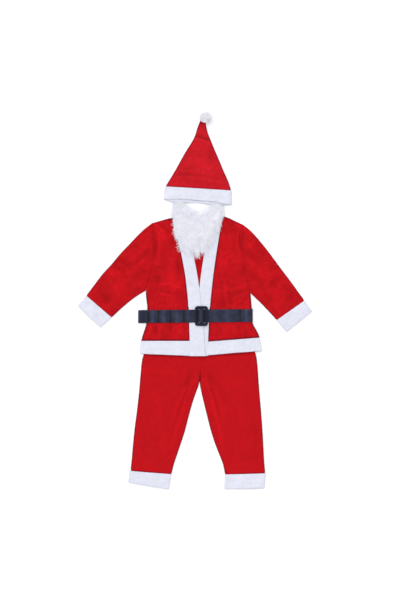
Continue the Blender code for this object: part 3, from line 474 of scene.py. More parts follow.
def flat_tube(node, plan, creases, seed, cloth, under_plan=None, swell=(95.0, 0.35), sewn=0.0):
    """A tube of cloth that lies flat. Each row is a loop: over the top layer, round its side, back under
    the bottom layer and round the other side. The bottom layer has creases like the top's, shifted and
    less high, and both gather at their seams. swell is the size and height in mm of its swells, and sewn
    how far in mm its edge is from where its cloth turns down: a larger sewn paints less edge shade and
    makes the seam dip less. The crease heights go with the mesh, for painted shade in the troughs and
    painted light on the ridges. Returns the top layer's points."""
    under_plan = plan if under_plan is None else under_plan
    side, end = distances(plan)
    top = eased(node, plan)
    bottom = steady(level(node, under_plan, way=-1), outer=7)
    turn = rounded(side, cloth.thick + 0.6)
    middle = (top + bottom) / 2
    gather = puckers(plan[..., 0], end, 10.0, 0.3, seed, clear=4.0)
    gather -= cloth.dip * (1.0 - 0.15 * sewn) * np.exp(-((end / SEAM_REACH) ** 2))
    below = 0.45 * np.abs(loose(plan + (9.0, -14.0), creases, seed + 1, *swell))
    shape = loose(plan, creases, seed, *swell) + rise(side, 1.0, 8.0) * gather
    lowest = bottom + below + 2 * cloth.thick + 0.2
    upper = middle + (np.maximum(top + shape, lowest) - middle) * turn
    lower = middle - (middle - bottom - below) * turn
    over, under = with_height(plan, upper), with_height(under_plan, lower)[:, -2:0:-1]
    loops = np.concatenate((over, under), axis=1)
    edge = np.minimum(side, end) + sewn
    edge = np.concatenate((edge, edge[:, -2:0:-1]), axis=1)
    fold = np.concatenate((shape, 0.5 - below[:, -2:0:-1]), axis=1)
    faces = quads(numbered(*loops.shape[:2], closed=True))
    piece = add_mesh(f"{node}_felt", loops.reshape(-1, 3), faces, cloth.material, edge=edge, fold=fold)
    wall = piece.modifiers.new("cloth thickness", "SOLIDIFY")
    wall.thickness = cloth.thick * MM
    wall.offset = -1.0
    dressed(piece, node, cloth.slot, cut_size(plan, 2))
    return over


# The fourth colour of each felt is its painted edge shade, for where the cloth turns down out of the light.
leg_felt = needled_felt(
    "red needled felt, pressed", "#b30c15", "#b80d16", "#bc1019", "#840c1a",
    edge_width=4.8, fold=0.22, crinkling=0.5, crumpled=0.0,
)
leg_cloth = Cloth(FELT, SEAM_DIP, leg_felt, "red_felt")

for side, lines in LEGS.items():
    plan = plan_of(f"trouser_leg_{side}", lines, rows=130, columns=44, tuck=TUCK)
    # sewn paints less edge shade at the crotch and makes the seam dip less there
    sewn = 5.0 * rise(plan[..., 1], -272.0, -262.0) * (1.0 - rise(np.abs(plan[..., 0] - CROTCH), 15.0, 25.0))
    flat_tube(f"trouser_leg_{side}", plan, LEG_CREASES, 3, leg_cloth, swell=LEG_SWELL, sewn=sewn)

# -------------------- ankle bands and waistband
# Each ankle ends in a band of white felt, folded double and sewn on with one row of stitches. The waist is
# a red casing, gathered by the elastic inside it; the jacket covers it.
WHITE = 1.6  # mm, white felt folded double and pressed
BAND_DIP = 0.2  # mm that a white band goes down at a seam
CASING = 1.4  # mm
STITCH_INSET = 3.0  # mm from a band's edge
CUFFS = {
    "right": (((-240, -629.3), (-88, -641.3)), ((-246, -671.8), (-98, -696.8))),
    "left": (((112, -642.3), (261, -638.3)), ((110, -695.8), (256, -693.8))),
}
CUFF_CREASES = (
    (-196, -634, -204, -676, 2, 7.2, 0.9), (-132, -642, -140, -688, -2, 6.4, -0.8),
    (-244, -664, -150, -678, 2, 6.4, 0.5), (160, -640, 152, -692, 2, 8, 0.9),
    (226, -640, 230, -690, -2, 6.4, -0.8), (118, -680, 200, -684, 2, 6.4, 0.5),
)
WAIST = (((-124, -93.6), (160, -93.6)), ((-130, -118.5), (166, -118.5)))

white_felt = needled_felt(
    "white needled felt", "#cdcfdb", "#d5d6e2", "#dcdde8", "#c4c6d5",
    edge_width=1.4, fold=0.04, crinkling=0.6, crumpled=0.012,
)
band_cloth = Cloth(WHITE, BAND_DIP, white_felt, "white_felt")
white_seams = []  # the lines that white thread is sewn along


def add_cuff(node, lines, columns, creases, seed):
    """A tube of white felt over the end of the piece inside it, with the line that it is sewn along."""
    plan = plan_of(node, lines, 26, columns)
    top = flat_tube(node, plan, creases, seed, band_cloth)
    white_seams.append(inset_line(top, STITCH_INSET, "first"))


for side, lines in CUFFS.items():
    add_cuff(f"trouser_cuff_{side}", lines, 48, CUFF_CREASES, 5)

plan = plan_of("trouser_waistband", WAIST, 16, 150)
gathers = [(x, -90, x + 1.5, -121, 0.4, 3.2, 0.5) for x in range(-118, 160, 11)]
flat_tube("trouser_waistband", plan, gathers, 7, leg_cloth._replace(thick=CASING), swell=(60.0, 0.1))

# -------------------- jacket back
# One layer of red felt from the shoulders to the hem band, cut round the neck at its top. The fronts are
# sewn to it at the shoulders and the sides, and the suit lies on it.
BACK = (((-158, 286), (178, 280)), ((-198, -148), (238, -136)))
BACK_NECK = ((-158, 286), (-79, 305), (-55, 277), (11, 256), (74, 280), (100, 312), (178, 280))
BACK_FOOT = ((-198, -148), (-19, -148), (48, -151), (238, -136))
BACK_CREASES = (
    (-120, 230, -60, 150, 8, 9.8, 1.3), (-20, 210, 10, 90, -6, 10.5, -1.1),
    (120, 236, 70, 160, -8, 9.1, 1.3), (-160, 60, -70, 30, 5, 7, 1.3), (-150, 20, -40, 8, -5, 6.3, -1.1),
    (170, 50, 80, 16, 6, 7.7, 1.3), (40, 40, 46, -110, 5, 9.1, 1.1), (-90, -20, -98, -130, -4, 7.7, -1.1),
    (150, -20, 166, -126, 5, 8.4, 1.1), (-186, 10, -196, -120, 4, 6.3, 0.9),
)
BACK_MOST = 0.7  # mm that a ridge of the back rises, below the fronts


def shell(upper, lower):
    """Points and faces of a closed body between two grids that share their rim."""
    index = numbered(*upper.shape[:2], closed=False)
    under = index.copy()
    inside = under[1:-1, 1:-1]
    under[1:-1, 1:-1] = index.size + np.arange(inside.size).reshape(inside.shape)
    points = np.vstack((upper.reshape(-1, 3), lower[1:-1, 1:-1].reshape(-1, 3)))
    return points, np.vstack((quads(index), quads(under)[:, ::-1]))


def slab(node, plan, shape, cloth, sewn=0.0, lowest=0.0):
    """One layer of cloth on its solid's upper side: an upper and an under grid that meet in a rounded rim.
    No part comes below lowest. Returns the upper points."""
    rim = np.minimum(*distances(plan))
    half = cloth.thick / 2 * rounded(rim, cloth.thick / 2 + 0.3)
    middle = np.maximum(eased(node, plan) - cloth.thick / 2 + shape, lowest + cloth.thick / 2)
    upper = with_height(plan, middle + half)
    points, faces = shell(upper, with_height(plan, middle - half))
    # sewn moves the painted edge shade: a larger sewn paints less of it, a negative one more
    edge = rim + sewn
    edge = np.concatenate((edge.ravel(), edge[1:-1, 1:-1].ravel()))
    fold = np.concatenate((shape.ravel(), -shape[1:-1, 1:-1].ravel()))
    piece = add_mesh(f"{node}_felt", points, faces, cloth.material, edge=edge, fold=fold)
    dressed(piece, node, cloth.slot, cut_size(plan, 1))
    return upper


plan = plan_of("jacket_back", BACK, 110, 84, BACK_NECK, BACK_FOOT)
shape = np.minimum(loose(plan, BACK_CREASES, 11, 110.0, 0.25), BACK_MOST)
jacket_felt = needled_felt(
    "red needled felt, crumpled", "#b10b14", "#b60d16", "#be111a", "#820c1a",
    edge_width=4.8, fold=0.21, crinkling=1.3, crumpled=0.07,
)
jacket_cloth = leg_cloth._replace(material=jacket_felt)
slab("jacket_back", plan, shape, jacket_cloth)

# -------------------- jacket fronts
# Two fronts of red felt, sewn to the back at the shoulders and down the sides, and to their white trims at
# the middle. The cloth is pinched in by the belt, creases at the armholes and fans out in small folds
# below it.
FRONTS = {
    "right": (((-158, 286), (-79, 305)), ((-198, -148), (-19, -148))),
    "left": (((100, 312), (178, 280)), ((48, -150.8), (238, -136.2))),
}
FRONT_CREASES = (
    # beside the right armhole
    (-148, 262, -153, 138, 5, 4.8, -2.1), (-138, 258, -138, 150, 6, 5.5, 1.4),
    # from the right shoulder
    (-156, 286, -104, 236, 3, 4.8, 1.8), (-138, 290, -92, 250, -3, 4.8, -1.3),
    (-150, 262, -98, 206, 4, 5.5, 1.1),
    # beside the left armhole
    (170, 268, 172, 180, -5, 4.8, -2.1), (160, 262, 160, 176, -5, 5.5, 1.4),
    (146, 282, 184, 254, 3, 4.8, 1.6), (136, 292, 158, 240, -4, 5.5, -1),
    # across, under the right arm
    (-148, 62, -38, 40, 5, 5.5, 1.8), (-150, 44, -56, 22, -4, 4.8, -1.4), (-140, 26, -70, 6, 4, 5.5, 1.1),
    (-156, 96, -96, 92, 4, 6.2, 0.9),
    # and under the left
    (196, 66, 108, 36, 5, 6.2, 1.4), (198, 42, 128, 14, -4, 5.5, -1.1),
    # down the left front
    (104, 84, 113, -22, 4, 4.8, 1.8), (126, 40, 138, -26, -3, 5.5, -1.1),
    # slow folds of the chest
    (-96, 120, -84, -20, 7, 10.2, 1.1), (-62, 200, -54, 70, -6, 9.5, -0.9), (92, 220, 88, 100, 5, 9.5, 1),
    (-118, 180, -76, 130, 5, 7.5, 0.9), (140, 180, 108, 120, -5, 8.2, 0.9),
    # fanning out below the belt
    (-164, -82, -172, -136, 2, 4.1, 1.6), (-148, -82, -150, -128, 2, 4.1, -1.4),
    (-126, -82, -132, -142, -2, 4.8, 1.4), (-92, -82, -96, -124, 2, 4.1, -1),
    (-56, -82, -60, -134, 2, 4.1, 1.3), (-36, -82, -38, -140, -2, 4.8, -1.1),
    (66, -82, 70, -128, 2, 4.1, 1.1), (96, -82, 104, -134, -2, 4.8, -1), (136, -82, 144, -128, 2, 4.1, 1.6),
    (158, -82, 170, -134, -2, 4.1, -1.4), (186, -82, 206, -130, 2, 4.8, 1.4),
    # and above it
    (-158, -30, -162, 6, -2, 4.1, 1.1), (-110, -30, -108, 0, 2, 4.1, -1), (-66, -30, -68, -6, 2, 4.1, 1),
    (150, -30, 146, 2, -2, 4.1, 1.1), (182, -30, 184, 10, 2, 4.1, -1),
)
FRONT_DIP = 0.4  # mm that a front goes down at its seams
STRAP_WIDTH = 48.0  # mm, the belt's
BELT_LINE = (24.0, -56.5, 0.0104)  # mm: a point on the belt's middle line, and its slope
JACKET_MIDDLE = 10.0  # mm, its x


def belt_y(x):
    """y of the belt's middle line at x: a straight line, a little lower at the jacket's right side."""
    return BELT_LINE[1] + BELT_LINE[2] * (x - BELT_LINE[0])


def pinched(plan):
    """1 under the belt and falling off beside it, for cloth that the belt presses down."""
    away = np.abs(plan[..., 1] - belt_y(plan[..., 0]))
    return 1.0 - rise(away, STRAP_WIDTH / 2 - 1.0, STRAP_WIDTH / 2 + 12.0)


def jogged(plan):
    """1 on the upper half of the armhole seams, where the cloth is pulled in under the seam and its painted
    edge shade is darker, or else 0.
    """
    return rise(plan[..., 1], 152.0, 176.0) * (1.0 - rise(plan[..., 1], 234.0, 256.0))


for side, lines in FRONTS.items():
    plan = plan_of(f"jacket_front_{side}", lines, rows=120, columns=52)
    to_side, to_end = distances(plan)
    press = pinched(plan)
    shape = loose(plan, FRONT_CREASES, 13, 90.0, 0.4) * (1.0 - press)
    # pressed down under the belt and beside it, which the crease paint darkens: painted shadow of the belt
    shape -= 0.45 * press * rise(to_side, 0.0, 8.0)
    shape += puckers(plan[..., 1], to_side, 11.0, 0.25, 2.0, clear=4.0)
    shape += puckers(plan[..., 0], to_end, 11.0, 0.25, 3.0, clear=4.0)
    shape -= FRONT_DIP * np.exp(-((np.minimum(to_side, to_end) / SEAM_REACH) ** 2))
    armhole = rise(plan[..., 1], 20.0, 60.0) * rise(np.abs(plan[..., 0] - JACKET_MIDDLE), 100.0, 130.0)
    # sewn sets the painted edge shade: less on the armhole seams and more, by the 2.4, beside the trims
    sewn = (8.2 - 2.4 * jogged(plan)) * armhole - 2.4
    under = steady(level("jacket_back", plan)) + BACK_MOST + 0.1
    slab(f"jacket_front_{side}", plan, shape, jacket_cloth, sewn, under)

# -------------------- sleeves and their cuffs
# Each sleeve is a tube of red felt, folded along its upper side and set into its armhole, with a band of
# white felt at the wrist. The arms lie out and down, so the sleeve creases under the shoulder and at the
# elbow.
SLEEVES = {
    "right": (((-158, 286), (-183, 38)), ((-401, 18), (-309, -61))),
    "left": (((205, 29), (178, 280)), ((303, -71), (404, 0))),
}
ARMHOLES = {
    "right": ((-158, 286), (-155.5, 162), (-183, 38)),
    "left": ((205, 29), (179.5, 154.5), (178, 280)),
}
SLEEVE_CREASES = (
    # right: from the shoulder
    (-166, 236, -226, 168, 6, 6.3, 1.2), (-168, 200, -236, 130, 5, 6.3, -1.1),
    (-172, 160, -250, 92, -5, 6.3, 1), (-178, 112, -240, 70, -5, 5.6, -0.9),
    (-184, 74, -236, 36, -4, 5.6, 0.9),
    # at the elbow
    (-300, 144, -240, 104, 5, 4.9, 1.3), (-306, 128, -252, 92, 4, 4.9, -1.2),
    (-316, 112, -272, 60, -4, 5.6, 0.9), (-250, 200, -286, 150, -5, 7.7, 0.7),
    (-330, 92, -276, 8, 6, 8.4, 0.8), (-372, 52, -318, -24, 5, 7, -0.8), (-346, 66, -372, 22, -3, 5.6, 0.7),
    (-290, 30, -330, -32, 4, 6.3, 0.7),
    # left: from the shoulder
    (186, 232, 244, 160, -6, 6.3, 1.2), (190, 190, 256, 118, -5, 6.3, -1.1), (196, 146, 262, 72, 5, 6.3, 1),
    (202, 100, 254, 46, 4, 5.6, -0.9), (206, 66, 246, 14, 4, 5.6, 0.8),
    # at the elbow
    (318, 118, 262, 76, -5, 4.9, 1.2), (326, 98, 274, 54, -4, 4.9, -1.1), (292, 160, 262, 128, 4, 6.3, 0.7),
    (336, 80, 290, 10, -6, 8.4, 0.8), (372, 36, 326, -30, -5, 7, -0.8), (352, 64, 376, 20, 3, 5.6, 0.7),
    (284, 20, 312, -50, -4, 6.3, 0.7),
)
SLEEVE_CUFFS = {
    "right": (((-401, 18), (-309, -61)), ((-432, -20), (-350, -98))),
    "left": (((303, -71), (404, 0)), ((339, -114), (432, -39))),
}
SLEEVE_CUFF_CREASES = (
    (-372, -10, -402, -46, 2, 7.2, 0.9), (-340, -36, -372, -76, -2, 6.4, -0.8),
    (-420, -18, -372, -62, 2, 6.4, 0.5), (370, -26, 398, -66, -2, 7.2, 0.9),
    (334, -52, 366, -88, 2, 6.4, -0.8), (346, -104, 400, -66, 2, 6.4, 0.5),
)

for side, lines in SLEEVES.items():
    plan = plan_of(f"sleeve_{side}", lines, 100, 50, first_edge=ARMHOLES[side], tuck=TUCK)
    sewn = (5.2 - 2.4 * jogged(plan)) * (1.0 - rise(np.abs(plan[..., 0] - JACKET_MIDDLE), 185.0, 215.0))
    flat_tube(f"sleeve_{side}", plan, SLEEVE_CREASES, 17, jacket_cloth, sewn=sewn)
for side, lines in SLEEVE_CUFFS.items():
    add_cuff(f"sleeve_cuff_{side}", lines, 40, SLEEVE_CUFF_CREASES, 19)

# -------------------- front trims and neck trim
# White felt strips, folded double and sewn along the edges of the two fronts, where they meet edge to edge
# at the top and lap lower down. A third strip goes round the neck; the beard covers it.
TRIMS = {  # the left one lies under the right one
    "left": (((54, 302), (100, 312)), ((2, -204.5), (47, -204))),
    "right": (((-79, 305), (-32, 300)), ((-19, -205), (39, -205))),
}
TRIM_CREASES = (
    (-60, 120, -10, 114, 2, 7.2, 0.7), (-50, 60, 6, 54, -2, 6.4, -0.7), (-44, -10, 8, -18, 2, 6.4, 0.7),
    (-24, -90, 30, -96, 2, 7.2, 0.7), (-14, -150, 34, -144, -2, 7.2, -0.5), (46, 120, 90, 128, -2, 7.2, 0.7),
    (40, 40, 80, 34, 2, 6.4, -0.7), (36, -14, 72, -20, 2, 6.4, 0.7),
)
NECK_INNER = ((-32, 300), (-15, 291), (11, 288), (37, 293), (54, 302))
NECK_OUTER = ((-79, 305), (-55, 277), (11, 256), (74, 280), (100, 312))

shares = crowded(64)
across = crowded(20)[:, None, None]
plan = curve(NECK_INNER, shares)[None] * (1 - across) + curve(NECK_OUTER, shares)[None] * across
shape = puckers(plan[..., 0], distances(plan)[1], 9.0, 0.15, 4.0)
slab("neck_trim", plan, shape, band_cloth)

for side, lines in TRIMS.items():
    plan = plan_of(f"front_trim_{side}", lines, rows=150, columns=26)
    press = pinched(plan)
    # pressed down by the belt, which the crease paint darkens: painted shadow of the belt
    shape = loose(plan, TRIM_CREASES, 23, 70.0, 0.2) * (1.0 - press) - 0.3 * press
    shape += puckers(plan[..., 1], distances(plan)[0], 11.0, 0.18, 5.0, clear=3.0)
    top = slab(f"front_trim_{side}", plan, shape, band_cloth)
    white_seams += [inset_line(top, STITCH_INSET, edge) for edge in ("start", "stop")]

# -------------------- hem bands
# White felt bands, folded double over the raw lower edges of the fronts and of the back, and sewn on with
# one row of stitches. They meet at the side seams and stop under the front trims.
BACK_HEM = (((-198, -148.3), (238, -136.4)), ((-202, -191.5), (245, -181.5)))
BACK_HEM_EDGE = (
    (-202, -191.5), (-165, -194.5), (-108, -196.5), (-19, -200.5), (47, -198.5), (90, -194.5), (156, -188.5),
    (189, -186.5), (245, -181.5),
)
HEMS = {
    "right": (((-198, -148.3), (-19, -148.3)), ((-202, -194), (-19, -203))),
    "left": (((48, -151.3), (238, -136.4)), ((47, -201), (245, -184))),
}
HEM_EDGES = {
    "right": ((-202, -194), (-165, -197), (-108, -199), (-19, -203)),
    "left": ((47, -201), (90, -197), (156, -191), (189, -189), (245, -184)),
}
HEM_CREASES = (
    (-176, -150, -180, -190, 1, 6.4, 0.8), (-120, -152, -124, -194, -1, 7.2, -0.7),
    (-62, -150, -64, -196, 1, 7.2, 0.8), (84, -152, 86, -192, 1, 6.4, -0.7),
    (140, -148, 144, -188, -1, 7.2, 0.8), (206, -142, 212, -184, 1, 7.2, -0.7),
)

plan = plan_of("hem_band_back", BACK_HEM, 26, 130, last_edge=BACK_HEM_EDGE)
slab("hem_band_back", plan, loose(plan, HEM_CREASES, 29, 80.0, 0.15), band_cloth)
for side, lines in HEMS.items():
    plan = plan_of(f"hem_band_front_{side}", lines, rows=26, columns=70, last_edge=HEM_EDGES[side])
    shape = loose(plan, HEM_CREASES, 31, 80.0, 0.25)
    shape += puckers(plan[..., 0], distances(plan)[1], 10.0, 0.2, 6.0, clear=3.0)
    top = slab(f"hem_band_front_{side}", plan, shape, band_cloth)
    white_seams.append(inset_line(top, STITCH_INSET, "first"))

# -------------------- belt
# Dark navy webbing, ribbed across and coated, 48 mm wide. It goes round the jacket, its ends lapped
# behind, and over the buckle's middle bar. It was packed folded, which left creases across its front.
STRAP = 1.4  # mm thick
STRAP_ENDS = (46.0, -5.0)  # mm, x of the lower and of the upper end, behind the jacket
TAIL_X = -210.0  # mm, where the strap turns back at the jacket's right side
TAIL_RADIUS = 1.0  # mm, of the strap's middle line there
KINKS = (  # mm: x of a crease across the strap, its reach, and how far up or down it goes
    (-204.0, 1.5, 0.9), (-188.0, 7.0, -0.3), (-171.9, 3.6, -1.2), (-155.0, 8.0, 1.3),
    (-134.9, 3.0, -1.2), (-116.0, 8.0, 1.4), (-90.5, 3.2, -1.2), (-68.0, 9.0, 1.4),
    (-40.5, 2.8, -1.1), (-24.0, 7.0, 0.9),
    # inside the buckle, beside its bar and on it: only painted, darker in the slots as painted shade and
    # lighter on the bar as painted light
    (11.0, 2.8, -1.6), (22.5, 1.8, 0.7), (32.5, 2.8, -1.6),
    # and from the buckle to the left side
    (76.0, 13.0, 0.6), (120.0, 17.0, 0.8), (166.7, 3.0, -1.0), (190.0, 6.0, 1.4), (213.0, 4.0, -1.2),
)


def webbing():
    """Coated polyester webbing, roughness about 0.5: ribs 1.2 mm apart run across it, and its coating is
    worn a little paler in patches. Its creases are painted lighter on their ridges and darker in their
    troughs, as painted light and shade."""
    material, tree, shader, place = new_material("navy belt webbing", 0.55, IOR=1.5, Specular_IOR_Level=0.15)
    ribs = add_node(
        tree, "TexWave", "Fac", bands_direction="X", Vector=place, Scale=0.314 / (1.2 * MM), Distortion=0.4
    )
    wear = add_node(tree, "TexNoise", "Fac", Vector=place, Scale=1 / (22 * MM), Detail=3.0, Roughness=0.6)
    coat = add_node(tree, "ValToRGB", "Color", ((0.35, "#1d2030"), (0.7, "#2b2f41")), Fac=wear)
    # painted light and shade: the crease heights lighten the coat on a ridge and darken it in a trough
    height = add_node(tree, "Attribute", "Fac", attribute_name="fold")
    kink_light_and_shade = add_node(
        tree, "MapRange", "Result", Value=height, From_Min=-1.1, From_Max=1.5, To_Min=0.12, To_Max=2.1
    )
    painted_coat = add_node(tree, "VectorMath", "Vector", operation="SCALE", Vector=coat, Scale=kink_light_and_shade)
    tree.links.new(painted_coat, shader.inputs["Base Color"])
    bump = add_node(tree, "Bump", "Normal", Strength=0.35, Distance=0.15 * MM, Height=ribs)
    tree.links.new(bump, shader.inputs["Normal"])
    return material


def arc(x, z, radius, start, stop, count):
    """Points on a circle in the x-z plane, from one angle in degrees to another."""
    angle = np.radians(np.linspace(start, stop, count))
    return np.column_stack((x + radius * np.cos(angle), z + radius * np.sin(angle)))


half = STRAP / 2
turn_x = solid("belt_strap")[0][:, 0].max()
tops = np.linspace(TAIL_X + 6.0, turn_x - 9.0, 330)
heights = level("belt_strap", np.stack((tops, belt_y(tops)), axis=-1)[None])[0]
heights = softened(heights, 2) - half
kinks = sum(lift * np.exp(-np.abs((tops - x) / reach) ** 1.3) for x, reach, lift in KINKS)
clear_of_buckle = rise(np.abs(tops - BELT_LINE[0]), 24.0, 36.0)
heights = np.maximum(heights + kinks * clear_of_buckle, half + 0.1)
radius = (heights[-1] - half) / 2
under = np.linspace(STRAP_ENDS[0], TAIL_X + 6.0, 30)
back = np.linspace(turn_x - 12.0, 64.0, 16)
lap = np.linspace(58.0, STRAP_ENDS[1], 24)
parts = (
    np.column_stack((under, np.full(30, half))),
    arc(TAIL_X + half + TAIL_RADIUS, half + TAIL_RADIUS, TAIL_RADIUS, 270, 90, 12),
    np.column_stack((tops, heights)),
    arc(turn_x - half - radius, half + radius, radius, 80, -90, 20),
    np.column_stack((back, np.full(16, half))),
    np.column_stack((lap, half + (STRAP + 0.3) * rise(-lap, -58.0, -49.0))),
)
path = np.vstack(parts)
ahead = unit(np.gradient(path, axis=0))
normal = np.column_stack((-ahead[:, 1], ahead[:, 0]))
run = run_along(path)
across = STRAP_WIDTH * (crowded(16, 0.9) - 0.5)
from_rim = np.minimum(STRAP_WIDTH / 2 - np.abs(across)[None], np.minimum(run, run[-1] - run)[:, None])
thickness = half * rounded(from_rim, 0.6)
ripple = 0.35 * np.sin(path[:, :1] / 17.0 + 1.0) + 0.25 * np.sin(path[:, :1] / 6.3)
y = belt_y(path[:, :1]) + across[None] + ripple * (across / STRAP_WIDTH)[None]
sides = []
for way in (1, -1):
    place = path[:, None] + way * thickness[..., None] * normal[:, None]
    sides.append(np.stack((place[..., 0], y, np.maximum(place[..., 1], 0.0)), axis=-1))
rings = np.concatenate((sides[0], sides[1][:, -2:0:-1]), axis=1)
fold = np.zeros(len(path))
front = len(parts[0]) + len(parts[1])
# the kinks' heights go to the webbing as painted light and shade, also in the buckle, where the strap's
# shape leaves them out
fold[front : front + len(kinks)] = kinks
fold = np.broadcast_to(fold[:, None], rings.shape[:2])
faces = quads(numbered(*rings.shape[:2], closed=True))
piece = add_mesh("belt_strap_webbing", rings.reshape(-1, 3), faces, webbing(), fold=fold)
strap_flat = (round(run[-1] * MM, 4), STRAP_WIDTH * MM)
dressed(piece, "belt_strap", "belt_webbing", (strap_flat, round(strap_flat[0] * strap_flat[1], 5)))

# -------------------- buckle
# A slide buckle, moulded in dark navy ABS: a frame with rounded corners, a raised lip round it and a
# shallow channel inside the lip, and a middle bar that the strap runs over. It slides along the strap.
BUCKLE = (48.0, 73.6)  # mm, width and height
BUCKLE_SIDE, BUCKLE_RAIL = 9.0, 10.6  # mm, width of a side and height of a rail
BUCKLE_CORNER, WINDOW_CORNER = 10.0, 3.0  # mm, radii of the frame's outer and inner corners
BUCKLE_BAR = (12.0, 2.0)  # mm, width and thickness
BUCKLE_SECTION = (  # share of the way across a side from outside to inside, and height in mm
    (0.10, 0.0), (0.02, 0.25), (0.0, 0.8), (0.0, 2.3), (0.04, 2.85), (0.12, 3.15), (0.22, 3.2), (0.31, 3.05),
    (0.37, 2.7), (0.60, 2.6), (0.84, 2.6), (0.95, 2.4), (1.0, 1.9), (1.0, 0.7), (0.97, 0.2), (0.88, 0.0),
)


def rounded_box(width, height, corner, count):
    """Points anticlockwise round a rectangle with rounded corners, count to a corner and its next side."""
    angle = np.radians(np.linspace(0.0, 90.0, count - 6))
    rows = []
    for quarter, (sx, sy) in enumerate(((1, 1), (-1, 1), (-1, -1), (1, -1))):
        turned = angle + quarter * np.pi / 2
        x = sx * (width / 2 - corner) + corner * np.cos(turned)
        y = sy * (height / 2 - corner) + corner * np.sin(turned)
        rows.append(np.column_stack((x, y)))
    shares = np.linspace(0.0, 1.0, 8)[1:-1, None]
    sides = [rows[i][-1] * (1 - shares) + rows[(i + 1) % 4][0] * shares for i in range(4)]
    return np.vstack([part for pair in zip(rows, sides) for part in pair])


low, high = (np.array(corner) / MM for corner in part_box("belt_buckle"))
centre = (low + high) / 2
window = (BUCKLE[0] - 2 * BUCKLE_SIDE, BUCKLE[1] - 2 * BUCKLE_RAIL)
share, height = np.array(BUCKLE_SECTION).T[..., None, None]
outer, inner = rounded_box(*BUCKLE, BUCKLE_CORNER, 20), rounded_box(*window, WINDOW_CORNER, 20)
ring = outer * (1 - share) + inner * share
frame_grid = with_height(ring + centre[:2], np.broadcast_to(height[..., 0] + low[2], ring.shape[:2]))
index = numbered(*ring.shape[:2], closed=True)
frame_faces = quads(np.vstack((index, index[:1])))[:, ::-1]
half_x = np.array((-1.0, -0.93, -0.75, 0.75, 0.93, 1.0))
half_z = np.array((0.75, 0.93, 1.0, 1.0, 0.93, 0.75))
bar_x = BUCKLE_BAR[0] / 2 * np.concatenate((half_x, half_x[::-1]))
bar_z = BUCKLE_BAR[1] * np.concatenate((half_z, 1.0 - half_z))
bar_y = np.linspace(0.5, -0.5, 5) * (window[1] + 3.0)
bar_grid = np.stack(np.broadcast_arrays(bar_x[None], bar_y[:, None], bar_z[None]), axis=-1)
bar_grid = bar_grid + (centre[0], centre[1], low[2])
bar_faces = quads(numbered(*bar_grid.shape[:2], closed=True)) + frame_grid[..., 0].size
points = np.vstack((frame_grid.reshape(-1, 3), bar_grid.reshape(-1, 3)))
# moulded ABS with a fine satin face, roughness about 0.35
navy_abs = new_material(
    "navy moulded ABS", 0.36, IOR=1.54, Specular_IOR_Level=0.14, Base_Color=linear("#121527")
)[0]
piece = add_mesh("belt_buckle_frame", points, np.vstack((frame_faces, bar_faces)), navy_abs)
placed(piece, "buckle_plastic", "belt_buckle")

# -------------------- beard
# White faux fur on a thin felt backing, cut as a bib with two arms that go up under the hat band. Its
# fibres are combed down and out from the mouth, in locks that stand apart at the lower edge.
BEARD = np.array((  # mm: x and y of its inner and of its outer edge, from the right arm's end to the left's
    (-40, 384, -83, 384), (-40, 364, -84, 338), (-31, 355, -84, 300), (-21, 348, -77, 252),
    (-12, 343, -66, 208), (-2, 337, -43, 172), (8, 332, -15, 158), (16, 330, 13, 155),
    (24, 334, 37, 164), (33, 339, 60, 194), (41, 345, 80, 235), (48, 350, 96, 277),
    (55, 357, 106, 322), (56, 368, 105, 348), (56, 384, 103, 384),
), float)
BEARD_MIDDLE, BEARD_HALF = 10.0, 90.0  # mm, the x of its middle and half its width
BACKING = 1.0  # mm, felt
SHORTEST = 7.0  # mm, a strand that stops at the outline
Fur = namedtuple("Fur", "locks strands segments radius tip short long loft stray depth")
# strands to a lock, segments to a strand, mm, stray in radians, and the share of the beard it is rooted on
UNDER_FUR = Fur(430, 12, 4, 0.5, 0.2, 14.0, 30.0, 1.0, 0.22, 1.0)
UPPER_FUR = Fur(500, 15, 4, 0.32, 0.12, 16.0, 36.0, 2.2, 0.16, 1.0)
EDGE_FUR = Fur(130, 12, 4, 0.5, 0.2, 9.0, 17.0, 1.0, 0.22, 0.07)


def faux_fur(name, root, tip, sheen, backing):
    """Acrylic pile: fine pale fibres, soft to look at, with a grey tone between them. Fibres that stand on
    end catch more light at a grazing angle, which is the sheen. Where the mesh's thin says, from 0 to
    1, the colour is greyed towards the backing colour: painted shade, where the pile is sparse and its
    roots and backing would lie in shade."""
    material, tree, shader, place = new_material(name, 0.7, IOR=1.5, Sheen_Weight=sheen, Sheen_Roughness=0.5)
    shade = add_node(tree, "TexNoise", "Fac", Vector=place, Scale=1 / (9 * MM), Detail=3.0, Roughness=0.6)
    pile = add_node(tree, "ValToRGB", "Color", ((0.3, root), (0.62, tip)), Fac=shade)
    thin = add_node(tree, "Attribute", "Fac", attribute_name="thin")
    colour = add_node(tree, "Mix", 2, data_type="RGBA", Factor=thin, A_Color=pile, B_Color=linear(backing))
    tree.links.new(colour, shader.inputs["Base Color"])
    return material


def strands(spine, radius, upright, flat=0.25):
    """Points and faces of tapered tubes with three sides, one edge up. spine holds each strand's points in
    mm, strand by strand, radius the radius at each and upright the way that is up there. Fur fibres lie in
    flat bundles, so the tubes are less high than wide."""
    count, stations = spine.shape[:2]
    ahead = unit(np.gradient(spine, axis=1))
    beside = unit(np.cross(ahead, upright))
    above = np.cross(beside, ahead)
    angle = np.radians((90.0, 210.0, 330.0))[:, None]
    ring = beside[:, :, None] * np.cos(angle) + above[:, :, None] * np.sin(angle) * flat
    points = spine[:, :, None] + ring * radius[..., None, None]
    one = quads(numbered(stations, 3, closed=True))
    faces = (one[None] + (np.arange(count) * stations * 3)[:, None, None]).reshape(-1, 4)
    return points.reshape(-1, 3), faces


def joined(first, second):
    """Two bodies as one, each given as points and faces."""
    return np.vstack((first[0], second[0])), np.vstack((first[1], second[1] + len(first[0])))


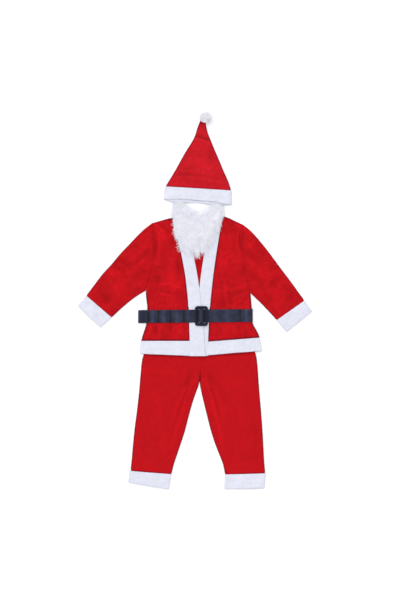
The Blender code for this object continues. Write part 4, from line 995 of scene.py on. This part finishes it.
def add_fur(name, body, hair, material, fill, node, **values):
    """A padded object from a smooth body and its flat-sided strands, each as points in mm and faces."""
    points, faces = joined(body, hair)
    piece = add_mesh(name, points, faces, material, **values)
    piece.data.polygons.foreach_set("use_smooth", np.arange(len(faces)) < len(body[1]))
    placed(piece, "white_fur", node)


def on_grid(grid, down, along):
    """A grid's values at shares of its rows and of its columns, by straight interpolation."""
    r, c = down * (grid.shape[0] - 1), along * (grid.shape[1] - 1)
    i, j = np.minimum(r.astype(int), grid.shape[0] - 2), np.minimum(c.astype(int), grid.shape[1] - 2)
    r, c = (r - i)[:, None], (c - j)[:, None]
    near = grid[i, j] * (1 - r) * (1 - c) + grid[i + 1, j] * r * (1 - c)
    return near + grid[i, j + 1] * (1 - r) * c + grid[i + 1, j + 1] * r * c


def closest(points, places):
    """The number of the closest of places to each of points, and its distance in mm, both in plan."""
    squares = (((part[:, None] - places[None]) ** 2).sum(-1) for part in np.array_split(points, 20))
    numbers, least = zip(*((square.argmin(1), square.min(1)) for square in squares))
    return np.concatenate(numbers), np.sqrt(np.concatenate(least))


shares = np.linspace(0.0, 1.0, 110)
inner, outer = curve(BEARD[:, :2], shares), curve(BEARD[:, 2:], shares)
skin = inner + (outer - inner) * (0.87 + 0.06 * np.sin(shares * 71.0) * np.sin(shares * 23.0))[:, None]
spread = crowded(44)[:, None, None]
plan = inner[None] * (1 - spread) + skin[None] * spread
fur_low, fur_high = eased("beard_fur", plan, 3, way=-1) + 0.1, eased("beard_fur", plan, 5)
rim = np.minimum(*distances(plan))
mound = 0.62 * (fur_high - fur_low + 0.1) + swells(plan, 41, 30.0, 0.6)
mound = np.maximum(mound * rounded(rim, 16.0), 0.3 * rounded(rim, 2.0))
fur_base = with_height(plan, fur_low + mound)
body = shell(fur_base, with_height(plan, fur_low))


def locks_of(seed, fur):
    """Points and faces of a layer of fur. Its locks are rooted all over the beard and its strands all over
    their lock; they fall down and outwards, and stop near the beard's outline."""
    rng = np.random.default_rng(seed)
    many = fur.locks * fur.strands

    def of_lock(values):
        return np.repeat(values, fur.strands)

    u = of_lock(rng.uniform(0.0, 1.0, fur.locks)) + rng.normal(0.0, 0.012, many)
    v = of_lock(rng.uniform(0.0, 1.0, fur.locks) ** 0.8 * fur.depth)
    v = v + rng.normal(0.0, 0.035 * fur.depth, many)
    u, v = np.clip(u, 0.0, 1.0), np.clip(v, 0.01 * fur.depth, 0.96)
    root = on_grid(fur_base, np.interp(v, crowded(44), np.linspace(0.0, 1.0, 44)), u)
    outward = on_grid(outer[None].repeat(2, axis=0), np.zeros(many), u) - root[:, :2]
    reach = np.linalg.norm(outward, axis=1)
    hang = np.column_stack((0.5 * (root[:, 0] - BEARD_MIDDLE) / BEARD_HALF, -np.ones(many)))
    bearing = 0.6 * hang + 0.4 * outward / np.maximum(reach, 1.0)[:, None]
    turned = np.arctan2(bearing[:, 1], bearing[:, 0]) + rng.normal(0.0, fur.stray, many)
    turned += of_lock(rng.normal(0.0, 0.38, fur.locks))
    bearing = np.column_stack((np.cos(turned), np.sin(turned)))
    length = of_lock(rng.uniform(fur.short, fur.long, fur.locks)) * rng.uniform(0.7, 1.1, many)
    over = of_lock(rng.uniform(-8.0, 5.0, fur.locks)) + rng.uniform(-1.0, 3.0, many)
    length = np.maximum(np.minimum(length, reach + over), SHORTEST)[:, None]
    stations = np.linspace(0.0, 1.0, fur.segments + 1)[None]
    bend = of_lock(rng.normal(0.0, 3.4, fur.locks))[:, None] * stations**2 * length / 25.0
    swing = rng.uniform(3.0, 7.0, (many, 1)) * stations + rng.uniform(0.0, 6.3, (many, 1))
    sideways = (bend + rng.uniform(0.5, 1.8, (many, 1)) * np.sin(swing)) * stations
    beside = np.column_stack((-bearing[:, 1], bearing[:, 0]))
    flat_spine = root[:, None, :2] + bearing[:, None] * (length * stations)[..., None]
    flat_spine = flat_spine + beside[:, None] * sideways[..., None]
    lift = of_lock(rng.uniform(0.2, 1.6, fur.locks))[:, None] + rng.uniform(0.0, fur.loft, (many, 1))
    under, away = closest(flat_spine.reshape(-1, 2), plan[::2, ::2].reshape(-1, 2))
    ground = fur_base[::2, ::2, 2].ravel()[under].reshape(flat_spine.shape[:-1])
    z = ground + lift * np.sin(np.pi * (stations * 0.8 + 0.1)) - 0.6 * (stations == 0)
    spine = np.concatenate((flat_spine, z[..., None]), axis=-1)
    radius = fur.tip + (fur.radius - fur.tip) * np.sqrt(1.0 - stations) * np.ones((many, 1))
    return strands(spine, radius, rng.normal(0.0, 0.25, (many, 1, 3)) + (0.0, 0.0, 1.0))


def thinness(points):
    """Painted shade of the pile at points in mm, from 0 to 1, where it is sparse and its backing would lie
    in shade: half of it falls off in 14 mm from the mouth's edge, and half grows with height, as the beard
    narrows into its arms."""
    number, from_mouth = closest(points[:, :2], inner)
    return 0.5 * np.exp(-from_mouth / 14.0) + 0.5 * np.clip((points[:, 1] - 230.0) / 110.0, 0.0, 1.0)


beard_fur = faux_fur("white acrylic fur", "#e8e9f1", "#f6f6fc", 0.3, "#e5e6ee")
hair = joined(locks_of(43, UNDER_FUR), locks_of(61, EDGE_FUR))
# the body under the strands is painted in full shade, for the roots and backing in shade between them
thin = np.concatenate((np.ones(len(body[0])), thinness(hair[0])))
add_fur("beard_fur_pile", body, hair, beard_fur, 0.3, "beard_fur", thin=thin)
hair = locks_of(47, UPPER_FUR)
piece = add_mesh("beard_fur_locks", *hair, beard_fur, thin=thinness(hair[0]))
piece.data.shade_flat()
placed(piece, "white_fur")

spread = crowded(24)[:, None, None]
plan = inner[None] * (0.9 - 0.7 * spread) + outer[None] * (0.1 + 0.7 * spread)
backing = band_cloth._replace(thick=BACKING)
slab("beard_backing", plan, np.zeros(plan.shape[:2]), backing)

# -------------------- hat and its band
# The hat is a cone of red felt with one seam down its back, laid flat. Its band is white felt, folded
# double over the raw edge; the front layer hangs a few millimetres past the back one. The band covers the
# beard's arms.
HAT = (((22, 667.5), (37, 665.7)), ((-107, 423.5), (133, 408)))
HAT_CREASES = (
    # below the tip, where it bent over
    (-8, 609, 70, 582, 5, 2.8, -3.2), (-10, 600, 76, 570, 6, 6, 0.7), (2, 624, 66, 604, 4, 6, 0.8),
    # a trough under the pompom, painted dark as the pompom's painted shadow
    (4, 656, 60, 652, 1, 3.5, -2.6),
    # slow waves above the band
    (-78, 474, 96, 452, 13, 5, 0.52), (-84, 462, 104, 440, 12, 5, -0.52), (-86, 452, 110, 430, 10, 5, 0.47),
    (-92, 440, 60, 428, 7, 4.5, -0.42), (-60, 494, 70, 478, 11, 6, 0.37), (40, 432, 124, 420, 3, 5, -0.42),
    (10, 510, 108, 478, -6, 11, 0.42), (-54, 530, 30, 512, 6, 11, 0.47), (-34, 566, 10, 486, 5, 10, -0.42),
    (72, 546, 98, 462, -5, 9, 0.47), (58, 560, 76, 500, -4, 8, -0.42),
)
HAT_BAND = (((-109, 422.8), (134, 407.8)), ((-115, 376), (136, 355)))
HAT_BAND_FRONT = ((-115, 376), (-41, 376), (13, 372), (71, 367), (100, 360), (136, 355))
HAT_BAND_BACK = ((-115, 376), (-79, 367), (-41, 365), (31, 360), (100, 356), (136, 355))
HAT_BAND_CREASES = (
    (-86, 418, -90, 378, 1, 7.2, 0.8), (-30, 416, -26, 376, -1, 8, -0.7), (30, 412, 34, 372, 1, 7.2, 0.8),
    (88, 410, 92, 364, -1, 8, -0.7),
)

# The hat's felt is the red felt painted lighter and pinker, as painted light, for the brighter light that
# falls on the top of the suit.
hat_felt = needled_felt(
    "red needled felt, brushed", "#b8131f", "#be1721", "#c41c28", "#7e0c1c",
    edge_width=5.0, fold=0.24, crinkling=1.0, crumpled=0.05,
)
plan = plan_of("hat_cone", HAT, rows=110, columns=54, tuck=TUCK)
flat_tube("hat_cone", plan, HAT_CREASES, 47, leg_cloth._replace(material=hat_felt))
edges = (HAT_BAND_FRONT, HAT_BAND_BACK)
plan, back_plan = (plan_of("hat_band", HAT_BAND, 26, 70, last_edge=edge) for edge in edges)
top = flat_tube("hat_band", plan, HAT_BAND_CREASES, 53, band_cloth, under_plan=back_plan)
white_seams.append(inset_line(top, STITCH_INSET, "first"))

# -------------------- pompom
# A tuft of the same white acrylic fur, gathered into a ball round a knot, trimmed and sewn to the hat's
# tip. Its fibres stand out every way, in lumps, and its core stays a little lower than their ends.
TUFT = 5200  # strands
TUFT_FIBRE = 0.5  # mm, radius of a strand at its root


def lumps(way):
    """How much larger the pompom is in a direction, as a share of its radius: a sum of three sine waves."""
    x, y, z = way[..., 0], way[..., 1], way[..., 2]
    return 0.04 * np.sin(5 * x + 2) + 0.04 * np.sin(6 * y + 1) + 0.03 * np.sin(7 * z)


low, high = (np.array(corner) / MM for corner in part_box("hat_pompom"))
centre = (low + high) / 2 - (1.6, 0.3, 0.0)
reach = (high - low) / 2 * (1.1, 1.03, 1.0)
turn = np.linspace(0.0, 2 * np.pi, 37)[None, :-1]
polar = np.linspace(0.0, np.pi, 26)[:, None]
ball = (np.sin(polar) * np.cos(turn), np.sin(polar) * np.sin(turn), np.cos(polar) + 0 * turn)
ball = np.stack(ball, axis=-1)
core = centre + ball * reach * (0.91 + lumps(ball) - 0.17 * ball[..., 2] ** 4)[..., None]
body = (core.reshape(-1, 3), quads(numbered(*core.shape[:2], closed=True)))
rng = np.random.default_rng(59)
place = unit(rng.normal(size=(TUFT, 3)))
lean = unit(place + rng.normal(0.0, 0.7, (TUFT, 3)))
ends = (1.02 + lumps(place) + rng.uniform(-0.12, 0.07, TUFT))[:, None]
stations = np.linspace(0.0, 1.0, 4)[None, :, None]
middle = place[:, None] * 0.76 * (1 - stations) + (lean * ends)[:, None] * stations
middle = middle + 0.05 * np.sin(np.pi * stations) * rng.normal(0.0, 1.0, (TUFT, 1, 3))
radius = TUFT_FIBRE * (1.0 - 0.7 * stations[..., 0] ** 1.5) * np.ones((TUFT, 1))
points, faces = strands(centre + middle * reach, radius, place[:, None])
hair = (np.maximum(points, (-1e3, -1e3, 0.3)), faces)
pompom_fur = faux_fur("white acrylic fur, gathered", "#f0f0f6", "#fbfbfe", 0.6, "#e5e6ee")
# the core is painted a fifth of the way to shade, for the shade between the fibres round it
thin = np.repeat((0.2, 0.0), (len(body[0]), len(points)))
add_fur("hat_pompom_pile", body, hair, pompom_fur, 0.6, "hat_pompom", thin=thin)

# -------------------- thread
# The bands and trims are sewn on with white polyester thread in a lockstitch, 3.4 mm to a stitch, in one
# row 3 mm in from the edge.
STITCH_PITCH, STITCH_LENGTH, THREAD = 3.4, 2.5, 0.24  # mm; the thread's is its radius


def stitches(lines):
    """Short tubes one behind the other along lines; each sinks into the cloth at both its ends."""
    share = np.array((0.0, 0.3, 0.7, 1.0))
    spines = []
    for line in lines:
        run = run_along(line)
        place = np.arange(2.0, run[-1] - 2.0 - STITCH_LENGTH, STITCH_PITCH)[:, None] + STITCH_LENGTH * share
        spine = np.stack([np.interp(place, run, line[:, axis]) for axis in range(3)], axis=-1)
        spines.append(spine + np.array((-0.3, 0.1, 0.1, -0.3))[:, None] * (0.0, 0.0, 1.0))
    spine = np.concatenate(spines)
    return strands(spine, np.full(spine.shape[:2], THREAD), (0.0, 0.0, 1.0), flat=0.9)


# spun polyester, roughness about 0.6
thread = new_material("white polyester thread", 0.6, IOR=1.5, Base_Color=linear("#e6e9f3"))[0]
piece = add_mesh("white_stitches", *stitches(white_seams), thread)
placed(piece, "white_felt")

# -------------------- floor, light and camera
# The suit lies flat on a plain pale floor, under soft studio light from every side and a wide lamp that
# stands low at the upper left, so that creases show. The camera looks straight down.
FLOOR = 9.0  # m from its middle to a side
CAMERA_HEIGHT = 5.0
CAMERA_PLACE = (0.0205, 0.0009)
VIEW_HEIGHT = 2.2237  # m seen from top to bottom
SENSOR = 36.0
LAMPS = (  # name, bearing, height above the floor and spread in degrees, and W/m2
    ("key", 128.0, 38.0, 90.0, 2.2),
    ("side fill", 20.0, 42.0, 80.0, 0.9),
    ("low fill", 250.0, 40.0, 80.0, 0.7),
)
WORLD_STRENGTH = 0.47

mesh = bpy.data.meshes.new("floor")
corners = [(x * FLOOR, y * FLOOR, 0) for x, y in ((-1, -1), (1, -1), (1, 1), (-1, 1))]
mesh.from_pydata(corners, [], [(0, 1, 2, 3)])
mesh.materials.append(new_material("white studio floor", 0.9, IOR=1.45, Base_Color=linear("#f7f7f8"))[0])
floor = bpy.data.objects.new("floor", mesh)
floor.location = (0, 0, -0.2 * MM)
bpy.context.scene.collection.objects.link(floor)
floor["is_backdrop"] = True

for name, bearing, height, spread, strength in LAMPS:
    light = bpy.data.lights.new(name, "SUN")
    light.angle = np.radians(spread)
    light.energy = strength
    lamp = bpy.data.objects.new(name, light)
    lamp.rotation_euler = (np.radians(90.0 - height), 0.0, np.radians(bearing + 90.0))
    bpy.context.scene.collection.objects.link(lamp)

world = bpy.data.worlds.new("studio")
world.use_nodes = True
world.node_tree.nodes["Background"].inputs["Color"].default_value = linear("#fafbff")
world.node_tree.nodes["Background"].inputs["Strength"].default_value = WORLD_STRENGTH
bpy.context.scene.world = world
bpy.context.scene.view_settings.view_transform = "Standard"

lens = bpy.data.cameras.new("camera")
lens.sensor_width = SENSOR
lens.lens = SENSOR * CAMERA_HEIGHT / VIEW_HEIGHT
camera = bpy.data.objects.new("camera", lens)
camera.location = (*CAMERA_PLACE, CAMERA_HEIGHT)
bpy.context.scene.collection.objects.link(camera)
bpy.context.scene.camera = camera

low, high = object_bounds()
